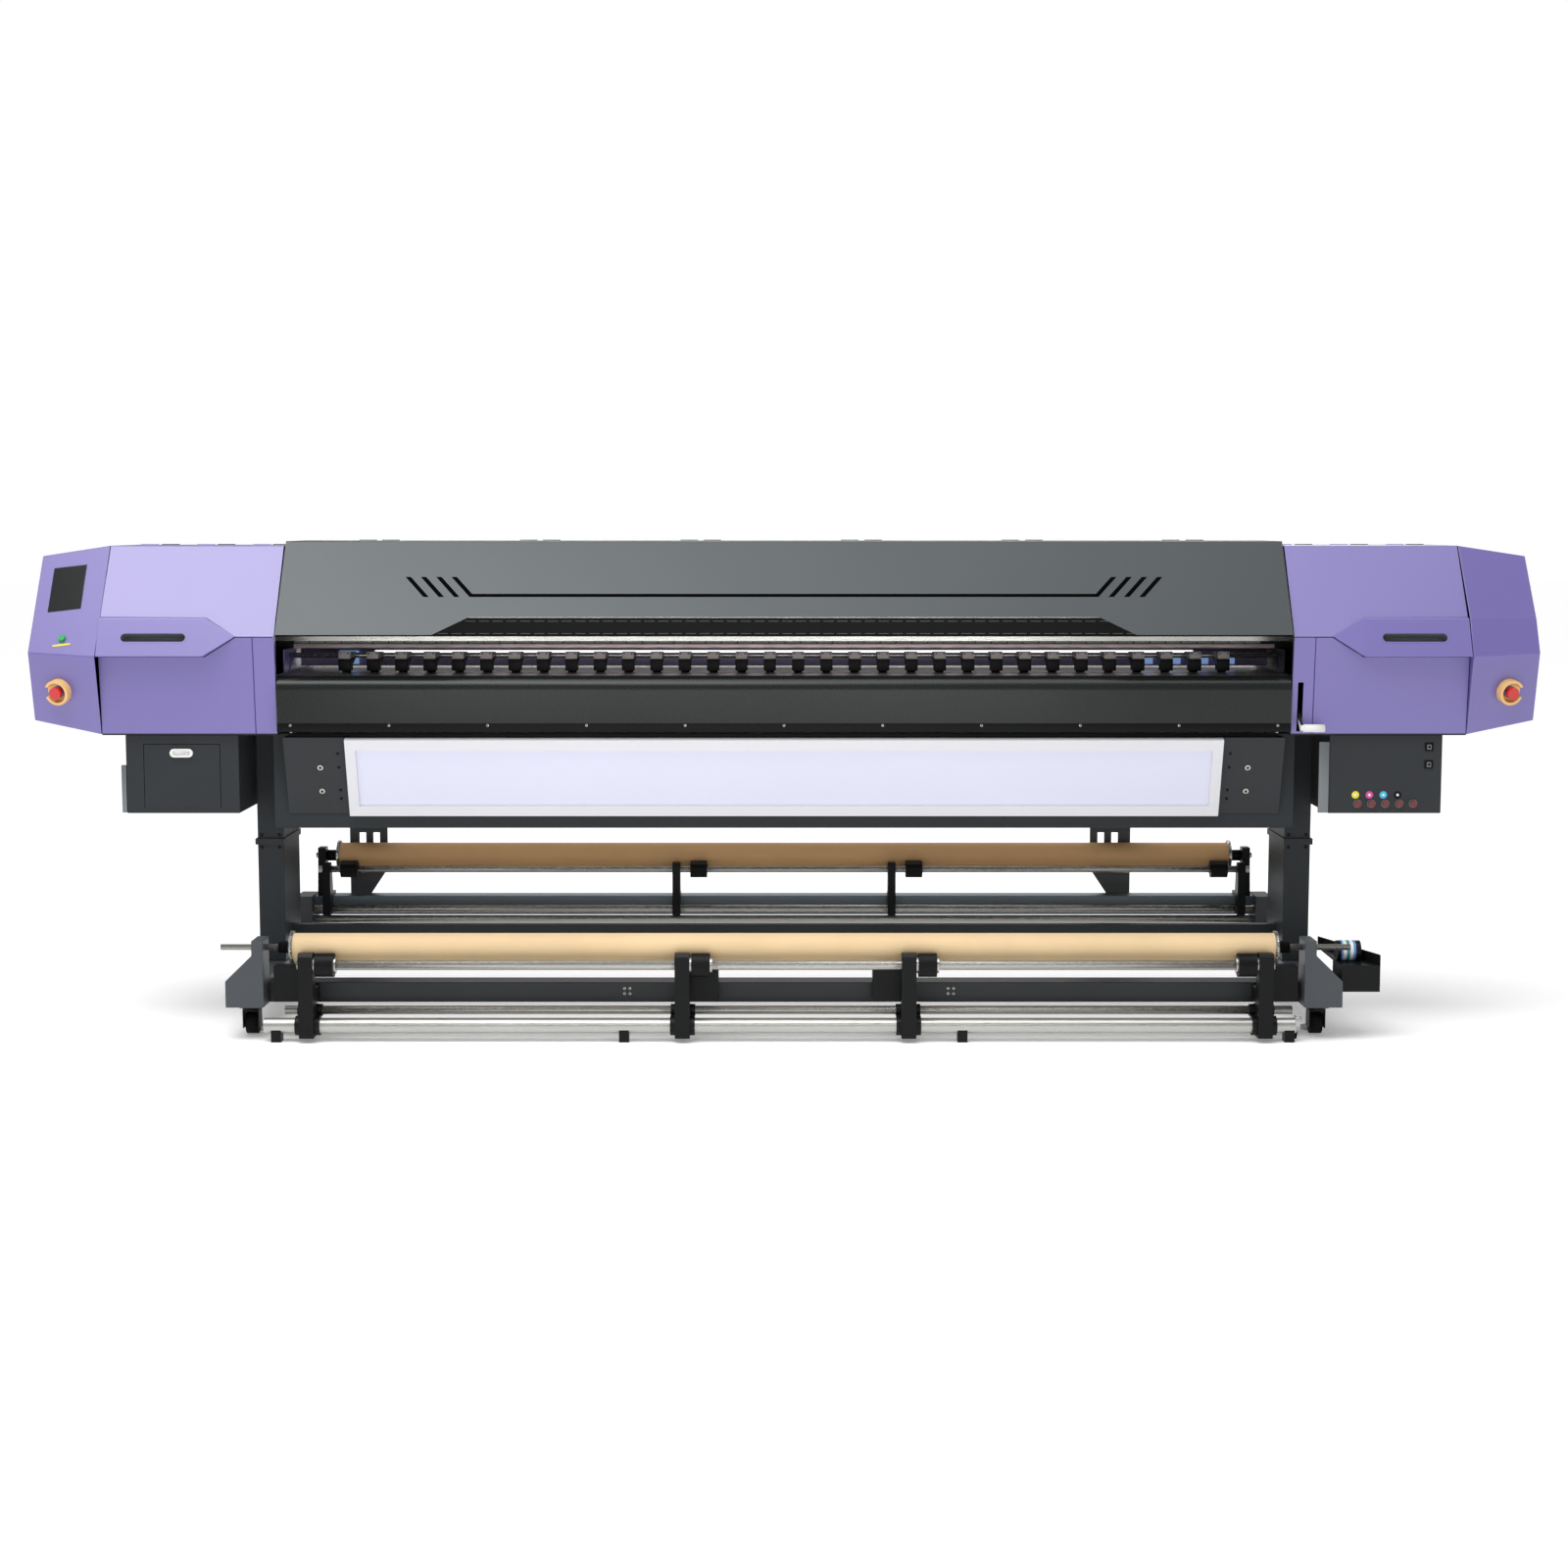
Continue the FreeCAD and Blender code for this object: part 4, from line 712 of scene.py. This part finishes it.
rearFace = {
    "guard": ((-1.655, 0.0655, 1.192), (1.655, 0.0675, 1.2575)), "guardSoften": 0.0006,
    "lamp": ((-1.40, 0.0605, 1.2335), (1.40, 0.0655, 1.2445)), "lampSoften": 0.001,
    "widePad": ((-1.52, 0.052, 1.198), (-1.455, 0.0645, 1.244)), "padSoften": 0.002,
    "padX": (1.20, 1.295, 1.39, 1.48), "padWide": 0.062, "padY": (0.052, 0.0645),
    "padZ": (1.198, 1.226),
}
guard = bmesh.new()
addBlock(guard, *rearFace["guard"], soften=rearFace["guardSoften"])
placed("dustGuard", guard, ["lilacSteel"], "machine")
lamp = bmesh.new()
addBlock(lamp, *rearFace["lamp"], soften=rearFace["lampSoften"])
placed("lampStrip", lamp, ["ledWhite"], "machine")
# blue pads behind the window, given a painted glow to light them though they are no lamps
plates = bmesh.new()
addBlock(plates, *rearFace["widePad"], soften=rearFace["padSoften"])
for x in rearFace["padX"]:
    addBlock(plates, (x, rearFace["padY"][0], rearFace["padZ"][0]),
             (x + rearFace["padWide"], rearFace["padY"][1], rearFace["padZ"][1]),
             soften=rearFace["padSoften"])
placed("bluePads", plates, ["skyPlasticPaintedGlow"], "machine")

grid = {"half": 1.64, "pitch": 0.0465, "rows": (1.306, 1.3475), "front": -0.0562,
        "back": -0.0545, "gap": 0.006, "tall": 0.0022}
dashes = bmesh.new()
for row in grid["rows"]:
    for step in range(int(2 * grid["half"] / grid["pitch"])):
        left = -grid["half"] + step * grid["pitch"]
        addBlock(dashes, (left + grid["gap"], grid["front"], row),
                 (left + grid["pitch"] - grid["gap"], grid["back"], row + grid["tall"]))
placed("beamDashes", dashes, ["greyPlastic"], "machine")
print("stage: window details")


# apron, dryer and stand: screws and bolts

apronTrim = {"lip": ((-1.659, -0.3478, 0.998), (1.659, -0.3445, 1.0262)), "soften": 0.0008,
             "pitch": 0.323, "steps": 5, "y": -0.3478, "z": 1.020, "radius": 0.0045,
             "height": 0.002}
lip = bmesh.new()
addBlock(lip, *apronTrim["lip"], soften=apronTrim["soften"])
placed("apronLip", lip, ["blackPlastic"], "machine")
apronSpots = [(apronTrim["pitch"] * step, apronTrim["y"], apronTrim["z"])
              for step in range(-apronTrim["steps"], apronTrim["steps"] + 1)]
screwHeads("apronScrews", apronSpots, (0, -1, 0), apronTrim["radius"], apronTrim["height"],
           "steel", "machine")

dryer = {"out": (0, -0.9450, -0.3271), "boltX": 1.5285, "bolt": (0.010, 0.005),
         "boltYZ": ((-0.295, 0.877), (-0.267, 0.796)), "screwX": 1.468,
         "screw": (0.0045, 0.003),
         "screwYZ": ((-0.311, 0.924), (-0.295, 0.877), (-0.268, 0.799), (-0.258, 0.769))}
bigBolts = [(side * dryer["boltX"], y, z) for side in (-1, 1) for y, z in dryer["boltYZ"]]
screwHeads("dryerBolts", bigBolts, dryer["out"], *dryer["bolt"], "steel", "machine")
smallBolts = [(side * dryer["screwX"], y, z) for side in (-1, 1) for y, z in dryer["screwYZ"]]
screwHeads("dryerScrews", smallBolts, dryer["out"], *dryer["screw"], "blackPlastic",
           "machine")

leg = {"x": (1.708, 1.768), "y": -0.100, "z": (0.586, 0.628), "bolt": (0.006, 0.003)}
flange = [(side * x, leg["y"], z) for side in (-1, 1) for x in leg["x"] for z in leg["z"]]
screwHeads("legBolts", flange, (0, -1, 0), *leg["bolt"], "blackPaint", "machine")
beamRow = {"x": (-0.515, 0.548), "apart": (-0.009, 0.009), "y": -0.400, "z": (0.140, 0.158),
           "screw": (0.0045, 0.0025)}
beamSpots = [(x + dx, beamRow["y"], z) for x in beamRow["x"] for dx in beamRow["apart"]
             for z in beamRow["z"]]
screwHeads("beamScrews", beamSpots, (0, -1, 0), *beamRow["screw"], "steel", "machine")
print("stage: fasteners")


# take-up: collars on the low tube, the crank end and the motor's bands

takeup = {"stands": (-1.548, -0.330, 0.405, 1.560), "halfWidth": 0.024, "wide": 0.016,
          "play": 0.0002,
          "tubes": (((-0.490, 0.052), 0.025, 0.007), ((-0.448, 0.095), 0.014, 0.006))}
tubeRings = bmesh.new()
for x in takeup["stands"]:
    for side in (-1, 1):
        for (y, z), radius, grow in takeup["tubes"]:
            addRing(tubeRings, (x + side * takeup["halfWidth"], y, z), (side, 0, 0),
                    radius + takeup["play"], radius + grow, takeup["wide"], sides=28)
placed("tubeCollars", tubeRings, ["blackPaint"], "machine")

rollerEnd = {"y": -0.5015, "z": 0.2534, "inner": 0.0165, "outer": 0.026, "wide": 0.007,
             "longest": 1}                             # a shell longer than this is the shaft
hubs = bmesh.new()
copyOfShaft = bmesh.new()
copyOfShaft.from_mesh(nodes["takeup_support_shaft"].data)
bmesh.ops.remove_doubles(copyOfShaft, verts=copyOfShaft.verts, dist=weld)
copyOfShaft.faces.index_update()
for shell in shells(copyOfShaft):
    ends = [v.co.x for f in shell for v in f.verts]
    if max(ends) - min(ends) < rollerEnd["longest"]:
        for x, side in ((min(ends), -1), (max(ends), 1)):
            addRing(hubs, (x, rollerEnd["y"], rollerEnd["z"]), (side, 0, 0),
                    rollerEnd["inner"], rollerEnd["outer"], rollerEnd["wide"], sides=28)
copyOfShaft.free()
placed("rollerHubs", hubs, ["steel"], "takeup_support")

handle = {"arm": ((1.6605, -0.503, 0.030), (1.6655, -0.477, 0.084)), "armSoften": 0.0012,
          "axle": ((1.6655, -0.490, 0.074), (1.684, -0.490, 0.074)), "axleRadius": 0.006,
          "axleSoften": 0.001,
          "knob": ((1.663, -0.4905, 0.032), (1.663, -0.4895, 0.009)), "knobRadius": 0.009,
          "knobTip": 0.006, "knobSoften": 0.002}
crank = bmesh.new()
addBlock(crank, *handle["arm"], soften=handle["armSoften"])
addRod(crank, *handle["axle"], handle["axleRadius"], soften=handle["axleSoften"])
addRod(crank, *handle["knob"], handle["knobRadius"], soften=handle["knobSoften"], paint=1,
       tip=handle["knobTip"])
placed("tubeCrank", crank, ["steel", "rubber"], "machine")

motor = {"y": -0.368, "z": 0.279, "radius": 0.033, "left": 1.8175, "sunk": 0.001,
         "bands": ((0.012, 0.018, 0.0012, 0), (0.018, 0.052, 0.0006, 1),
                   (0.052, 0.060, 0.0012, 0), (0.030, 0.040, 0.0010, 2))}
bands = bmesh.new()
for start, end, grow, paint in motor["bands"]:
    addRing(bands, (motor["left"] + start, motor["y"], motor["z"]), (1, 0, 0),
            motor["radius"] - motor["sunk"], motor["radius"] + grow, end - start,
            paint=paint)
placed("motorBands", bands, ["bluePlastic", "whitePlastic", "tealPlastic"], "machine")
print("stage: take-up details")


# light, floor and camera

def areaLight(name, place, target, size, power):
    data = bpy.data.lights.new(name, "AREA")
    data.shape = "RECTANGLE"
    data.size = size[0]
    data.size_y = size[1]
    data.energy = power
    light = bpy.data.objects.new(name, data)
    bpy.context.collection.objects.link(light)
    light.location = place
    light.rotation_euler = (Vector(target) - Vector(place)).to_track_quat("-Z", "Y").to_euler()


studio = {
    "floorHalf": 60,
    "floorGlow": 0.2,
    "worldTone": (1.0, 1.0, 1.0),
    "worldPower": 0.36,
    "sunPower": 1.7,
    "sunWay": (0.15, 0.2, -1.0),
    "cameraPlace": (0, -8.528, 1.687),
    "cameraDown": 6,
    "lens": 57.6,
    "sensor": 36,
    "sunSpread": 50,
}
world = bpy.data.worlds.new("studioWorld")
bpy.context.scene.world = world
world.use_nodes = True
air = world.node_tree
sky = air.nodes["Background"]
sky.inputs["Color"].default_value = (*studio["worldTone"], 1)
backdrop = air.nodes.new("ShaderNodeBackground")      # what stands behind the object
backdrop.inputs["Color"].default_value = (1, 1, 1, 1)
sky.inputs["Strength"].default_value = studio["worldPower"]
mixed = air.nodes.new("ShaderNodeMixShader")
seen = air.nodes.new("ShaderNodeLightPath")
air.links.new(seen.outputs["Is Camera Ray"], mixed.inputs["Fac"])
air.links.new(sky.outputs["Background"], mixed.inputs[1])
air.links.new(backdrop.outputs["Background"], mixed.inputs[2])
air.links.new(mixed.outputs["Shader"], air.nodes["World Output"].inputs["Surface"])

sunData = bpy.data.lights.new("skylight", "SUN")
sunData.energy = studio["sunPower"]
sunData.angle = math.radians(studio["sunSpread"])
sun = bpy.data.objects.new("skylight", sunData)
bpy.context.collection.objects.link(sun)
sun.rotation_euler = Vector(studio["sunWay"]).to_track_quat("-Z", "Y").to_euler()

softboxes = {                                          # place, target, size and power
    "topSoftbox": ((-2.3, -2.9, 6.2), (-0.6, 0.0, 1.2), (6.0, 2.6), 170),
    "frontFill": ((2.5, -7.5, 0.7), (0, 0, 0.5), (5.0, 0.9), 14),
    "windowFill": ((-0.3, -2.6, 1.12), (0, -0.17, 1.24), (3.0, 0.12), 9),
    "rearSoftbox": ((0.5, 5.0, 3.6), (0, 0.2, 0.9), (6.0, 2.0), 90),
}
for name, settings in softboxes.items():
    areaLight(name, *settings)

floorMesh = bmesh.new()
bmesh.ops.create_grid(floorMesh, x_segments=1, y_segments=1, size=studio["floorHalf"])
floorData = bpy.data.meshes.new("studioFloor")
floorMesh.to_mesh(floorData)
floorMesh.free()
floor = bpy.data.objects.new("studioFloor", floorData)
bpy.context.collection.objects.link(floor)
floorVinyl = finish("floorVinyl", "f8f8f8", rough=0.75, vary=0.005, bump=0.0)
floorGlow = floorVinyl.node_tree.nodes["Principled BSDF"]
floorGlow.inputs["Emission Color"].default_value = (1, 1, 1, 1)
floorGlow.inputs["Emission Strength"].default_value = studio["floorGlow"]
floorData.materials.append(floorVinyl)

cameraData = bpy.data.cameras.new("frontCamera")
cameraData.lens = studio["lens"]
cameraData.sensor_width = studio["sensor"]
camera = bpy.data.objects.new("frontCamera", cameraData)
bpy.context.collection.objects.link(camera)
camera.location = studio["cameraPlace"]
camera.rotation_euler = (math.radians(90 - studio["cameraDown"]), 0, 0)
bpy.context.scene.camera = camera
bpy.context.scene.view_settings.view_transform = "Standard"
print("stage: studio ready")
